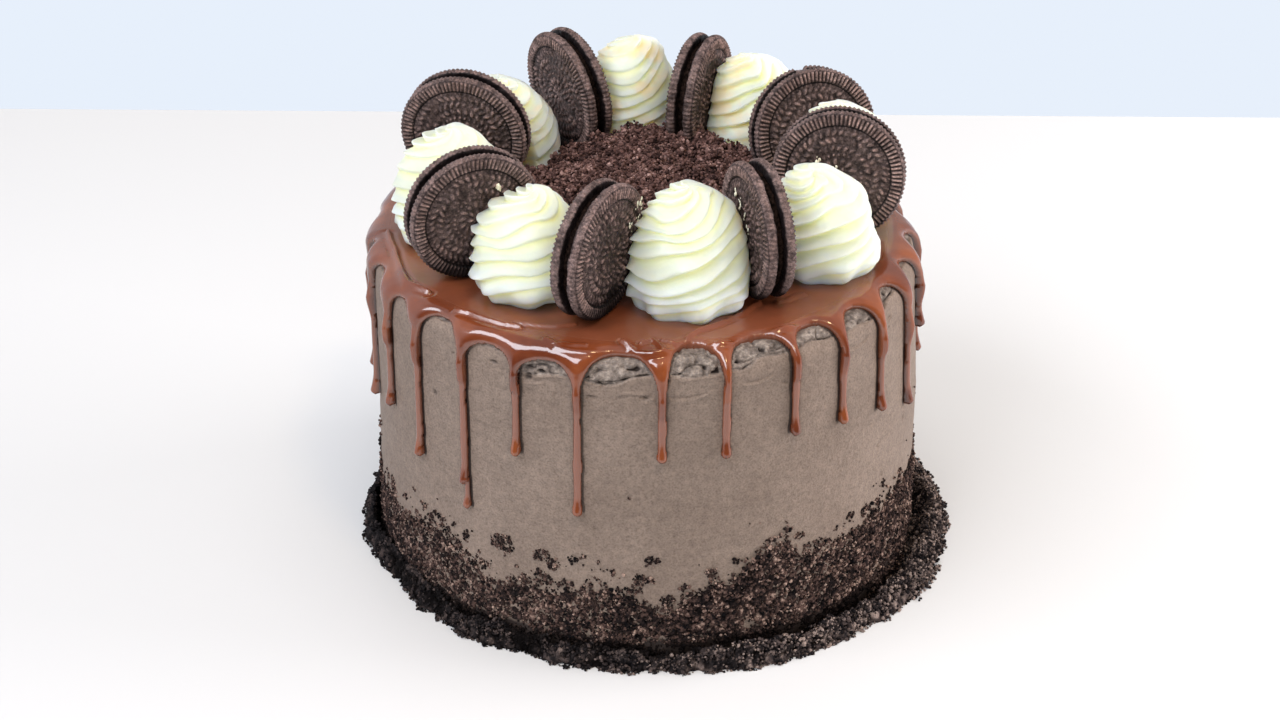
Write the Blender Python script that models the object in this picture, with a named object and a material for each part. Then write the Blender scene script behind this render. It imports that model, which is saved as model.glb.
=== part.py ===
"""Round layer cake with a dripping glaze, piped cream swirls and sandwich cookies, at its real size.

The cake stands on the XY plane with its axis on Z. Its front, the side that the drips were
measured on, faces -Y. Azimuths are in degrees from the front, positive towards +X.
"""

import math
import random

import bmesh
import bpy
from mathutils import Vector

MM = 0.001

# Space left between pieces that touch in the real cake.
GAP = 0.35 * MM

# Frosted cake: upright side, which leans in a little high on the right, then a rounded shoulder
# that is wider on the right and at the front.
CAKE_RADIUS = 93.7 * MM
CAKE_TOP = 113.3 * MM
LEAN_IN_RIGHT = 2.4 * MM
LEAN_START = 60.0 * MM
SHOULDER_MEAN = 6.0 * MM
SHOULDER_TO_RIGHT = 2.2 * MM
SHOULDER_TO_FRONT = 1.0 * MM
CAKE_COLUMNS = 60
SHOULDER_STEPS = 3

# Glaze: poured cap, thin over the shoulder, with drips down the side.
STANDING_HEIGHT = 116.2 * MM
GLAZE_THICKNESS = STANDING_HEIGHT - CAKE_TOP - GAP
GLAZE_EDGE_LIFT = 0.95 * MM
STEM_HALF_WIDTH = 1.6 * MM
STEM_LIFT = 2.5 * MM
STEM_SIDE_LIFT = 1.2 * MM
BULB_LENGTH = 4.0 * MM
GLAZE_CORE_HEIGHT = 30.0 * MM
# Half widths of a drip from the top of the glaze to its tip, as multiples of the stem's.
FUNNEL_WIDTHS = (3.4, 3.0, 2.2, 1.35)
BULB_WIDTHS = (1.3, 0.65)
FUNNEL_RIM = 0.35

# Each drip: azimuth, then the height of its tip above the floor. The back ones aren't in the photo.
DRIPS = (
    (-89, 61), (-79, 59), (-65, 67), (-52.5, 58), (-38.5, 48), (-26.2, 74.5), (-13.5, 56.5),
    (2.8, 78), (15.3, 78), (30, 81), (42.2, 78.5), (54.9, 74.5), (68.4, 66), (81, 85),
    (95, 63), (109, 78), (122, 57), (137, 81), (151, 69), (165, 74),
    (180, 55), (194, 80), (209, 66), (223, 76), (237, 60), (254, 77),
)
# Between drips the frosting shows up to here: azimuth, then distance out from the top's flat edge.
ARCH_TOPS = (
    (-72, 2.8), (-60, 4.5), (-46, 2.8), (-33, 5.6), (-20, 6.4), (-5, 2.4), (9, -1.8),
    (23, -0.8), (36, 0.8), (49, 2.4), (62, 3.4), (90, 4.0), (135, 3.0), (180, 3.6), (230, 4.4),
)

# Sandwich cookie: two wafers on a filling that stops short of their rims.
COOKIE_RADIUS = 22.5 * MM
WAFER_THICKNESS = 3.7 * MM
WAFER_BEVEL = 0.7 * MM
FILLING_SPACE = 2.9 * MM
FILLING_RADIUS = 21.0 * MM
WAFER_SIDES = 32
FILLING_SIDES = 22

# Each cookie: distance of its centre from the axis, azimuth, turn off the radial plane, lean.
COOKIES = (
    (68.1, 247.9, -9.0, -4.6),
    (68.6, 204.5, -7.6, -5.8),
    (60.0, 162.6, 3.6, -0.1),
    (63.6, 117.6, 8.9, -13.5),
    (63.8, 84.8, 1.6, -7.7),
    (60.6, 35.4, 16.8, 1.5),
    (66.8, -13.7, 15.9, -2.8),
    (68.7, -56.4, 9.6, -4.4),
)
CHIPPED_COOKIE = 4
CHIP_DEPTH = 1.6 * MM
CHIP_CENTRE = 84
CHIP_HALF_ANGLE = 5

# Each cream swirl: distance of its centre from the axis, azimuth, half depth along the radius,
# half width across it, height, and how far its foot is drawn in, as a share of its width.
SWIRLS = (
    (66.0, 231.0, 19.5, 19.0, 36.5, 0.20),
    (68.0, 186.5, 18.0, 17.5, 41.5, 0.20),
    (66.0, 145.5, 18.0, 18.0, 39.5, 0.20),
    (67.0, 101.0, 20.0, 14.0, 40.0, 0.20),
    (63.0, 62.0, 20.5, 19.5, 34.5, 0.30),
    (56.0, 13.0, 20.3, 20.3, 41.0, 0.16),
    (63.0, -38.0, 18.5, 18.5, 37.0, 0.36),
    (66.0, -84.0, 20.5, 20.5, 37.5, 0.20),
)
SWIRL_COLUMNS = 14
SWIRL_ROWS = 13
# Rows that the ridges climb in one turn: two ridges with a groove beside each.
ROWS_PER_TURN = 4
GROOVE_DEPTH = 0.14
SWIRL_CLEARANCE = 0.6 * MM
# The cream keeps the cookie's side also this far past its rim.
PRESSED_MARGIN = 8.0 * MM

# Crumbs heaped in the middle of the top, higher towards the back where they bury the cookies.
MOUND_RADIUS = 49.0 * MM
MOUND_HEIGHT = 15.0 * MM
MOUND_EDGE_HEIGHT = 10.5 * MM
MOUND_BACK_RISE = 6.5 * MM
MOUND_BACK_AZIMUTH = 168
MOUND_COLUMNS = 40
# Rings of the heap from its foot inwards: part of its radius, then part of its height there.
MOUND_RINGS = ((1.0, 0.0), (0.97, 0.62), (0.88, 0.95), (0.7, 1.0), (0.48, 1.0), (0.26, 1.0), (0.08, 1.0))
CRUMB_BUMP = 0.8 * MM
SLOT_SIDES = 20

# Crumbs pressed on the foot of the side, with a low heap in front of them on the floor.
SKIRT_COLUMNS = 60
SKIRT_COAT = 2.0 * MM
HEAP_RADIUS = 99.6 * MM
HEAP_TO_RIGHT = 3.0 * MM
HEAP_AT_SIDES = 5.6 * MM
HEAP_HEIGHT = 7.8 * MM
# Upper edge of the pressed crumbs: azimuth, then height.
CRUMB_EDGE = (
    (-73, 30), (-44, 34), (-37, 26), (-10, 32), (3, 22), (12, 33), (26, 45), (33, 36),
    (48, 30), (60, 33), (73, 39), (100, 34), (135, 27), (170, 33), (205, 28), (245, 34),
)

# Colours as they show in the photograph, in linear light, with roughness.
FINISHES = {
    "frosting": ((0.30, 0.235, 0.19, 1.0), 0.75),
    "glaze": ((0.17, 0.045, 0.022, 1.0), 0.18),
    "wafer": ((0.045, 0.026, 0.021, 1.0), 0.8),
    "filling": ((0.02, 0.012, 0.01, 1.0), 0.85),
    "cream": ((0.95, 0.92, 0.74, 1.0), 0.5),
    "crumbs": ((0.04, 0.02, 0.016, 1.0), 0.95),
}


def clear_scene():
    """Remove whatever the scene holds."""
    for item in list(bpy.data.objects):
        bpy.data.objects.remove(item, do_unlink=True)


def finish(name):
    """Material of this name, made on its first use."""
    known = bpy.data.materials.get(name)
    if known:
        return known
    color, roughness = FINISHES[name]
    material = bpy.data.materials.new(name)
    material.use_nodes = True
    shader = material.node_tree.nodes["Principled BSDF"]
    shader.inputs["Base Color"].default_value = color
    shader.inputs["Roughness"].default_value = roughness
    shader.inputs["Metallic"].default_value = 0.0
    material.diffuse_color = color
    return material


def add_object(name, mesh_data, material_name):
    """Put a bmesh in the scene as one named object."""
    bmesh.ops.recalc_face_normals(mesh_data, faces=mesh_data.faces)
    mesh = bpy.data.meshes.new(name)
    mesh_data.to_mesh(mesh)
    mesh_data.free()
    mesh.materials.append(finish(material_name))
    item = bpy.data.objects.new(name, mesh)
    bpy.context.collection.objects.link(item)
    return item


def skin_rows(name, rows, material_name, ring=False):
    """Solid with a skin over closed rows of points; a ring joins its last row to its first."""
    shape = bmesh.new()
    layers = []
    for row in rows:
        layers.append([shape.verts.new(point) for point in row])
    pairs = list(zip(layers, layers[1:]))
    if ring:
        pairs.append((layers[-1], layers[0]))
    else:
        shape.faces.new(list(reversed(layers[0])))
        shape.faces.new(layers[-1])
    for lower, upper in pairs:
        count = len(lower)
        for here in range(count):
            after = (here + 1) % count
            shape.faces.new((lower[here], lower[after], upper[after], upper[here]))
    return add_object(name, shape, material_name)


def outward(azimuth):
    """Unit vector from the axis towards an azimuth."""
    angle = math.radians(azimuth)
    return Vector((math.sin(angle), -math.cos(angle), 0.0))


def around(azimuth, pairs):
    """Value of a table of (azimuth, value) at any azimuth, eased between its entries."""
    first = pairs[0][0]
    azimuth = (azimuth - first) % 360 + first
    closed = list(pairs) + [(first + 360, pairs[0][1])]
    for (start, low), (end, high) in zip(closed, closed[1:]):
        if azimuth <= end:
            part = (azimuth - start) / (end - start)
            part = part * part * (3 - 2 * part)
            return low + (high - low) * part
    return pairs[0][1]


def shoulder(azimuth):
    """Radius of the cake's rounded shoulder."""
    way = outward(azimuth)
    return SHOULDER_MEAN + SHOULDER_TO_RIGHT * way.x - SHOULDER_TO_FRONT * way.y


def side_reach(azimuth, height):
    """Distance from the axis to the frosted side at a height."""
    right = max(0.0, outward(azimuth).x) ** 2
    raised = (height - LEAN_START) / (CAKE_TOP - shoulder(azimuth) - LEAN_START)
    return CAKE_RADIUS - LEAN_IN_RIGHT * right * min(max(raised, 0.0), 1.0)


def on_cake(azimuth, travel, lift=0.0):
    """Point above the frosting, a travel out and down from the edge of the flat top."""
    radius = shoulder(azimuth)
    arc = radius * math.pi / 2
    if travel > arc:
        height = CAKE_TOP - radius - (travel - arc)
        return outward(azimuth) * (side_reach(azimuth, height) + lift) + Vector((0, 0, height))
    flat_reach = side_reach(azimuth, CAKE_TOP) - radius
    if travel < 0:
        return outward(azimuth) * (flat_reach + travel) + Vector((0, 0, CAKE_TOP + lift))
    angle = travel / radius
    reach = flat_reach + (radius + lift) * math.sin(angle)
    height = CAKE_TOP - radius + (radius + lift) * math.cos(angle)
    return outward(azimuth) * reach + Vector((0, 0, height))


def travel_to_height(azimuth, height):
    """Travel from the flat top's edge down to a height on the straight side."""
    radius = shoulder(azimuth)
    return radius * math.pi / 2 + CAKE_TOP - radius - height


def cake_rows(lift, floor):
    """Rows of points from the floor to the flat top, a lift above the frosting."""
    columns = [360 * step / CAKE_COLUMNS for step in range(CAKE_COLUMNS)]
    rows = []
    for height in (floor, LEAN_START):
        rows.append([outward(azimuth) * (CAKE_RADIUS + lift) + Vector((0, 0, height)) for azimuth in columns])
    for step in range(SHOULDER_STEPS, -1, -1):
        part = step / SHOULDER_STEPS
        rows.append([on_cake(azimuth, part * shoulder(azimuth) * math.pi / 2, lift) for azimuth in columns])
    return rows


def build_cake():
    """Frosted cake, solid to its flat base."""
    return skin_rows("cake_body", cake_rows(0.0, 0.0), "frosting")


def drip_column(azimuth, tip, side):
    """Azimuth, travel and lift of a drip's points from the flat top to its tip; side is -1, 0 or 1."""
    arc = shoulder(azimuth) * math.pi / 2
    half = math.degrees(STEM_HALF_WIDTH / CAKE_RADIUS)
    travels = [arc * step / SHOULDER_STEPS for step in range(SHOULDER_STEPS + 1)]
    end = travel_to_height(azimuth, tip)
    short_of_tip = 0.3 * BULB_LENGTH * abs(side)
    travels += [end - BULB_LENGTH, end - short_of_tip]
    lift = STEM_SIDE_LIFT if side else STEM_LIFT
    lifts = [GLAZE_THICKNESS] * 2 + [0.5 * (GLAZE_THICKNESS + lift)] + [lift, lift, GLAZE_EDGE_LIFT]
    widths = FUNNEL_WIDTHS + BULB_WIDTHS
    return [(azimuth + side * half * width, travel, high)
            for width, travel, high in zip(widths, travels, lifts)]


def funnel_column(azimuth, side):
    """The glaze's edge where an arch runs into a drip."""
    arc = shoulder(azimuth) * math.pi / 2
    half = math.degrees(STEM_HALF_WIDTH / CAKE_RADIUS)
    travels = [arc * step / SHOULDER_STEPS for step in range(SHOULDER_STEPS + 1)]
    travels += [arc + 2.0 * MM, arc + 4.0 * MM]
    lifts = [GLAZE_THICKNESS] * 2 + [2.0 * MM, 1.5 * MM, 1.2 * MM, GLAZE_EDGE_LIFT]
    widths = FUNNEL_WIDTHS + (FUNNEL_WIDTHS[-1], FUNNEL_WIDTHS[-1])
    return [(azimuth + side * half * (width + FUNNEL_RIM), travel, high)
            for width, travel, high in zip(widths, travels, lifts)]


def arch_column(azimuth):
    """The glaze's edge above the frosting that shows between two drips."""
    top_edge = around(azimuth, ARCH_TOPS) * MM
    back = min(0.0, top_edge - 4.0 * MM)
    count = SHOULDER_STEPS + 2
    lifts = [GLAZE_THICKNESS, GLAZE_THICKNESS, 2.4 * MM, 2.1 * MM, 1.7 * MM, GLAZE_EDGE_LIFT]
    return [(azimuth, back + (top_edge - back) * step / count, high)
            for step, high in enumerate(lifts)]


def build_glaze():
    """Poured cap with its drips: a skin from the flat top to the hanging edge, cut free of the cake."""
    columns = []
    drips = list(DRIPS)
    following = drips[1:] + [(drips[0][0] + 360, drips[0][1])]
    for (azimuth, tip), (next_azimuth, _) in zip(drips, following):
        columns.append(funnel_column(azimuth, -1))
        for side in (-1, 0, 1):
            columns.append(drip_column(azimuth, tip * MM, side))
        columns.append(funnel_column(azimuth, 1))
        for part in (0.36, 0.64):
            columns.append(arch_column(azimuth + (next_azimuth - azimuth) * part))
    shape = bmesh.new()
    layers = []
    for index in range(len(columns[0])):
        layers.append([shape.verts.new(on_cake(*column[index])) for column in columns])
    layers.append([shape.verts.new(on_cake(*column[-1][:2], -2 * MM)) for column in columns])
    shape.faces.new(layers[0])
    core = shape.verts.new((0, 0, GLAZE_CORE_HEIGHT))
    for here in range(len(columns)):
        after = (here + 1) % len(columns)
        for upper, lower in zip(layers, layers[1:]):
            shape.faces.new((upper[here], upper[after], lower[after], lower[here]))
        shape.faces.new((layers[-1][here], layers[-1][after], core))
    glaze = add_object("glaze", shape, "glaze")
    cutter = skin_rows("glaze_cutter", cake_rows(GAP, -10 * MM), "frosting")
    cutter.hide_render = True
    cutter.display_type = "WIRE"
    cut = glaze.modifiers.new("cake_space", "BOOLEAN")
    cut.operation = "DIFFERENCE"
    cut.solver = "EXACT"
    cut.object = cutter
    return glaze


def cookie_axes(number):
    """Centre of a cookie, its axis, and the radial and upward directions in its plane."""
    ring, azimuth, turn, lean = COOKIES[number - 1]
    radial = outward(azimuth)
    across = Vector((-radial.y, radial.x, 0.0))
    axis = across * math.cos(math.radians(turn)) + radial * math.sin(math.radians(turn))
    axis = axis * math.cos(math.radians(lean)) + Vector((0, 0, math.sin(math.radians(lean))))
    height = STANDING_HEIGHT + COOKIE_RADIUS * math.cos(math.radians(lean))
    centre = radial * ring * MM + Vector((0, 0, height))
    level = Vector((0, 0, 1)).cross(axis).normalized()
    return centre, axis, level, axis.cross(level)


def disc_row(frame, offset, radius, sides, notch=None, floor=STANDING_HEIGHT):
    """Circle of points square to a cookie's axis, flat where it would sink below a floor.

    A notch shortens the radius at some angles.
    """
    centre, axis, level, up = frame
    middle = centre + axis * offset
    points = []
    for step in range(sides):
        angle = 360 * (step + 0.5) / sides
        way = level * math.cos(math.radians(angle)) + up * math.sin(math.radians(angle))
        reach = radius - (notch(angle) if notch else 0.0)
        if middle.z + way.z * reach < floor:
            reach = (floor - middle.z) / way.z
        points.append(middle + way * reach)
    return points


def chip(angle):
    """Depth of the broken edge at an angle round a wafer."""
    off = abs(angle - CHIP_CENTRE) / CHIP_HALF_ANGLE
    return CHIP_DEPTH if off < 1 else 0.0


def build_cookie(number):
    """Two wafers and the filling between them."""
    frame = cookie_axes(number)
    inner = FILLING_SPACE / 2
    outer = inner + WAFER_THICKNESS
    for label, side in (("right", -1), ("left", 1)):
        notch = chip if number == CHIPPED_COOKIE and label == "left" else None
        rows = [
            disc_row(frame, side * inner, COOKIE_RADIUS, WAFER_SIDES, notch),
            disc_row(frame, side * (outer - WAFER_BEVEL), COOKIE_RADIUS, WAFER_SIDES, notch),
            disc_row(frame, side * outer, COOKIE_RADIUS - WAFER_BEVEL, WAFER_SIDES, notch),
        ]
        skin_rows(f"cookie_{number}_{label}", rows, "wafer")
    half = inner - GAP
    rows = [disc_row(frame, side * half, FILLING_RADIUS, FILLING_SIDES) for side in (-1, 1)]
    skin_rows(f"cookie_{number}_filling", rows, "filling")


def press_by_cookies(point, middle, clearance):
    """Keep a point of the cream round a middle on that middle's side of each cookie."""
    half = WAFER_THICKNESS + FILLING_SPACE / 2 + clearance
    for number in range(1, len(COOKIES) + 1):
        centre, axis, _, _ = cookie_axes(number)
        if (middle - centre).dot(axis) < 0:
            axis = -axis
        away = point - centre
        depth = away.dot(axis)
        beside = (away - axis * depth).length
        if depth < half and beside < COOKIE_RADIUS + PRESSED_MARGIN:
            flat = Vector((axis.x, axis.y, 0.0)).normalized()
            point = point + flat * (half - depth) / flat.dot(axis)
    return point


def swirl_outline(part, drawn_in):
    """Half width of a swirl at a part of its height, as a share of its widest."""
    foot = 1.0 - drawn_in * (1.0 - min(part / 0.22, 1.0)) ** 2
    return foot * max(1.0 - part ** 2.8, 0.0) ** 0.62 + 0.05


def build_swirl(number):
    """Star-piped swirl: rows of ridge and groove climb round it from the foot to the tip."""
    ring, azimuth, deep, wide, tall, drawn_in = SWIRLS[number - 1]
    chance = random.Random(40 + number)
    radial = outward(azimuth)
    across = Vector((-radial.y, radial.x, 0.0))
    tip_shift = radial * chance.uniform(-3, 2) * MM + across * chance.uniform(-2.5, 2.5) * MM
    middle = radial * ring * MM + Vector((0, 0, STANDING_HEIGHT + 0.5 * tall * MM))
    row_rise = tall * MM / SWIRL_ROWS

    def place(column, row):
        climb = (row + ROWS_PER_TURN * column / SWIRL_COLUMNS - ROWS_PER_TURN) * row_rise
        part = max(climb, 0.0) / (tall * MM)
        size = swirl_outline(part, drawn_in)
        if climb > 0:
            size *= 1.0 - GROOVE_DEPTH * ((row + 1) % 2)
            size *= chance.uniform(0.97, 1.02)
        else:
            size += climb / (wide * MM)
        angle = 2 * math.pi * (column / SWIRL_COLUMNS) + math.pi
        flat = (radial * deep * math.cos(angle) + across * wide * math.sin(angle)) * MM * size
        point = radial * ring * MM + flat + tip_shift * part ** 2
        point.z = STANDING_HEIGHT + max(climb, 0.0)
        return press_by_cookies(point, middle, SWIRL_CLEARANCE)

    shape = bmesh.new()
    grid = []
    for column in range(SWIRL_COLUMNS):
        last = SWIRL_ROWS + (ROWS_PER_TURN if column == 0 else 0)
        grid.append([shape.verts.new(place(column, row)) for row in range(last + 1)])
    for column in range(SWIRL_COLUMNS):
        seam = column == SWIRL_COLUMNS - 1
        beside = grid[0] if seam else grid[column + 1]
        raised = ROWS_PER_TURN if seam else 0
        for row in range(SWIRL_ROWS):
            after = row + raised
            shape.faces.new((grid[column][row], beside[after], beside[after + 1], grid[column][row + 1]))
    foot = [column[0] for column in grid] + [grid[0][row] for row in range(ROWS_PER_TURN, 0, -1)]
    shape.faces.new(list(reversed(foot)))
    rim = [column[SWIRL_ROWS] for column in grid]
    rim += [grid[0][row] for row in range(SWIRL_ROWS + ROWS_PER_TURN, SWIRL_ROWS, -1)]
    tip = shape.verts.new(radial * ring * MM + tip_shift + Vector((0, 0, STANDING_HEIGHT + (tall + 1) * MM)))
    for here, after in zip(rim, rim[1:] + rim[:1]):
        shape.faces.new((here, after, tip))
    return add_object(f"swirl_{number}", shape, "cream")


def mound_reach(azimuth):
    """How far the crumbs on top go before they meet a swirl."""
    way = outward(azimuth)
    reach = MOUND_RADIUS
    for ring, swirl_azimuth, deep, wide, *_ in SWIRLS:
        middle = outward(swirl_azimuth) * ring * MM
        size = max(deep, wide) * MM + 1.0 * MM
        along = middle.dot(way)
        missed = (middle - way * along).length
        if along > 0 and missed < size:
            reach = min(reach, along - math.sqrt(size * size - missed * missed))
    return reach


def mound_height(azimuth, part):
    """Height of the heap at an azimuth and a part of its radius."""
    back = max(0.0, math.cos(math.radians(azimuth - MOUND_BACK_AZIMUTH))) ** 3
    edge = MOUND_EDGE_HEIGHT + MOUND_BACK_RISE * back
    return MOUND_HEIGHT + (edge - MOUND_HEIGHT) * part * part


def build_mound():
    """Heap of crumbs in the middle of the top, slotted where the cookies stand in it."""
    chance = random.Random(7)
    rows = []
    for part, share in MOUND_RINGS:
        row = []
        for step in range(MOUND_COLUMNS):
            azimuth = 360 * step / MOUND_COLUMNS
            bump = chance.uniform(-CRUMB_BUMP, CRUMB_BUMP) * min(share, part * 2)
            place = outward(azimuth) * mound_reach(azimuth) * part
            height = STANDING_HEIGHT + mound_height(azimuth, part) * share + bump
            row.append(place + Vector((0, 0, height)))
        rows.append(row)
    mound = skin_rows("crumb_mound", rows, "crumbs")
    for number in range(1, len(COOKIES) + 1):
        frame = cookie_axes(number)
        half = WAFER_THICKNESS + FILLING_SPACE / 2 + GAP
        slot = [disc_row(frame, side * half, COOKIE_RADIUS + GAP, SLOT_SIDES, floor=0.0) for side in (-1, 1)]
        cutter = skin_rows(f"slot_{number}", slot, "crumbs")
        cutter.hide_render = True
        cutter.display_type = "WIRE"
        cut = mound.modifiers.new(f"slot_{number}", "BOOLEAN")
        cut.operation = "DIFFERENCE"
        cut.solver = "EXACT"
        cut.object = cutter
    return mound


def heap_reach(azimuth):
    """Distance from the axis to the outer foot of the crumbs on the floor."""
    side = outward(azimuth).x
    return HEAP_RADIUS + HEAP_TO_RIGHT * side + HEAP_AT_SIDES * side * side


def build_skirt():
    """Crumbs round the foot of the cake: the pressed coat and the heap before it, as one ring."""
    chance = random.Random(11)
    wall = CAKE_RADIUS + GAP + 0.1 * MM
    rows = [[] for _ in range(9)]
    for step in range(SKIRT_COLUMNS):
        azimuth = 360 * step / SKIRT_COLUMNS
        way = outward(azimuth)
        width = heap_reach(azimuth) - wall
        edge = around(azimuth, CRUMB_EDGE) * MM + chance.uniform(-2.2, 1.6) * MM
        shake = [chance.uniform(-CRUMB_BUMP, CRUMB_BUMP) for _ in range(8)]
        profile = (
            (wall, 0.0),
            (wall + width + shake[0], 0.0),
            (wall + 0.80 * width + shake[1], 0.52 * HEAP_HEIGHT + shake[2]),
            (wall + 0.54 * width, HEAP_HEIGHT + shake[3]),
            (wall + 0.34 * width, 0.82 * HEAP_HEIGHT + shake[4]),
            (wall + SKIRT_COAT + 0.5 * shake[5], 1.7 * HEAP_HEIGHT),
            (wall + SKIRT_COAT + 0.5 * shake[6], 0.5 * (1.7 * HEAP_HEIGHT + edge)),
            (wall + 0.8 * SKIRT_COAT + 0.3 * shake[7], edge - 1.2 * MM),
            (wall, edge),
        )
        for row, (reach, height) in zip(rows, profile):
            row.append(way * reach + Vector((0, 0, height)))
    return skin_rows("crumb_skirt", rows, "crumbs", ring=True)


def main():
    """Build every piece of the cake."""
    clear_scene()
    build_cake()
    build_glaze()
    for number in range(1, len(COOKIES) + 1):
        build_cookie(number)
    for number in range(1, len(SWIRLS) + 1):
        build_swirl(number)
    build_mound()
    build_skirt()


main()
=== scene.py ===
"""Looks of the round layer cake: every surface in detail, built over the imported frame.

Lengths are in millimetres, and mesh_piece() turns them into metres. The cake stands on the XY
plane with its axis on Z and its front towards -Y. Azimuths are in degrees from the front,
positive towards +X. Travel is the distance over the frosting from the edge of its flat top,
outwards and down the side.
"""

import itertools
import math

import bmesh
import bpy
import numpy as np
from mathutils import Matrix, Vector


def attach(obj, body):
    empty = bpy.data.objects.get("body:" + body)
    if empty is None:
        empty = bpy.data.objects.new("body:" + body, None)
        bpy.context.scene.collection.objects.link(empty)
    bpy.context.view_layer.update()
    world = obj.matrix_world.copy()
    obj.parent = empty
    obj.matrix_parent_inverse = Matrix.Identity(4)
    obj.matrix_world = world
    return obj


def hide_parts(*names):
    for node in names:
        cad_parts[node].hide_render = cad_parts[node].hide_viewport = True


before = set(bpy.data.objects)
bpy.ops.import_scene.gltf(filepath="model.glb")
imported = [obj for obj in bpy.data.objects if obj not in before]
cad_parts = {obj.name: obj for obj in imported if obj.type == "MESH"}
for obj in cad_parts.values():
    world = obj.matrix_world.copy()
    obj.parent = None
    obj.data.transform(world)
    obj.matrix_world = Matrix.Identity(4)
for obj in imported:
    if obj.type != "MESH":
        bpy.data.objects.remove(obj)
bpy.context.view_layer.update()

MM = 0.001

# Form of the frosted cake, as its solid has it.
CAKE_RADIUS = 93.7
CAKE_TOP = 113.3
LEAN_IN_RIGHT = 2.4
LEAN_START = 60.0
SHOULDER_MEAN = 6.0
SHOULDER_TO_RIGHT = 2.2
SHOULDER_TO_FRONT = 1.0
STANDING_HEIGHT = 116.2
MM_PER_DEGREE = math.radians(CAKE_RADIUS)

# Pits that show at the front: azimuth and travel, half width and half height, depth.
FRONT_PITS = (
    (-48.0, 31.0, 1.5, 0.9, 0.9), (-31.5, 10.5, 1.6, 0.7, 0.9), (-11.0, 16.5, 2.2, 0.55, 1.0),
    (-3.5, 53.0, 0.8, 0.6, 0.7), (-21.0, 10.0, 1.2, 0.7, 1.2), (-8.8, 12.5, 0.7, 0.7, 0.9),
    (-12.5, 7.5, 1.1, 0.6, 1.2), (3.4, 9.8, 1.3, 1.6, 1.4), (11.0, 7.0, 0.7, 0.7, 1.2),
    (13.5, 7.5, 0.6, 0.5, 1.0), (-23.8, 12.5, 1.6, 1.3, 1.2), (30.5, 24.0, 0.6, 0.5, 0.6),
)

# Glaze: each drip's azimuth and the height of its tip.
DRIPS = (
    (-89, 61), (-79, 59), (-65, 67), (-52.5, 58), (-38.8, 57), (-26.2, 74.5), (-13.5, 56.5),
    (2.8, 78), (15.3, 78), (30, 81), (42.2, 78.5), (54.9, 74.5), (68.4, 66), (81, 85),
    (95, 63), (109, 78), (122, 57), (137, 81), (151, 69), (165, 74),
    (180, 55), (194, 80), (209, 66), (223, 76), (237, 60), (254, 77),
)
# A second tip beside one of the drips: azimuth, height where it leaves the first, height of its end.
SECOND_TIP = (-38.4, 60, 48)
# Travel at which the glaze ends between drips, then at which each drip has drawn in to its stem.
ARCH_TOPS = (
    (-72, 2.8), (-60, 4.5), (-46, 2.8), (-33, 5.6), (-20, 6.4), (-5, 2.4), (9, -1.8),
    (23, -0.8), (36, 0.8), (49, 2.4), (62, 3.4), (90, 4.0), (135, 3.0), (180, 3.6), (230, 4.4),
)
FUNNEL_ENDS = (
    (-63, 18), (-51, 14.7), (-39, 12.4), (-26, 10.9), (-14, 14.2), (3, 15.6), (15, 10.2),
    (29, 8.1), (41, 12.8), (53, 15.3), (65, 20.8), (90, 14), (120, 11), (160, 16), (200, 12), (250, 16),
)
# Half widths of the drips, heights above the frosting, and how the sheet's edge is set into it.
STEM_HALF_WIDTH = 1.7
BULB_RADIUS = 2.05
BULB_BLEND = 5.0
STEM_LIFT = 2.0
BULB_LIFT = 3.3
FUNNEL_LIFT = 3.4
GLAZE_LIFT = 2.85
BEAD_WIDTH = 3.8
SUNK_DEPTH = 2.6
SNAP_WIDTH = 0.26
UNDERCUT = 0.85
GLAZE_INNER_TRAVEL = -46.0
# Azimuth that faces the camera's side, where contact shade turns from left to right sides of stems.
FACING_AZIMUTH = 25.0

# Where the scraped side ends under the glaze, with torn frosting above it: azimuth, travel.
SCRAPE_LINE = (
    (-40, 3.0), (-30, 6.0), (-24, 11.9), (-17, 10.8), (-9, 11.7), (1, 8.3), (8, 9.8), (18, 9.5),
    (23, 7.3), (34, 6.7), (43, 8.0), (54, 8.6), (70, 5.0), (100, 8.0), (130, 10.5), (160, 6.0),
    (200, 9.5), (235, 7.0), (280, 4.0),
)

# Arcs that the scraper left: centre azimuth and travel, radius, first and last angle.
SCRAPE_ARCS = (
    (-12.5, 4.5, 16.0, 48, 125), (-5.0, 2.0, 17.5, 50, 118), (-3.0, 26.0, 11.5, -120, -40),
    (7.0, -2.0, 19.5, 62, 120), (21.0, 1.0, 14.0, 55, 110), (-24.0, 2.5, 12.5, 60, 120),
    (47.0, 0.0, 15.0, 60, 115), (125.0, 2.0, 17.0, 50, 120), (200.0, 0.0, 18.0, 60, 120),
    (262.0, 3.0, 14.0, 55, 125),
)

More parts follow.
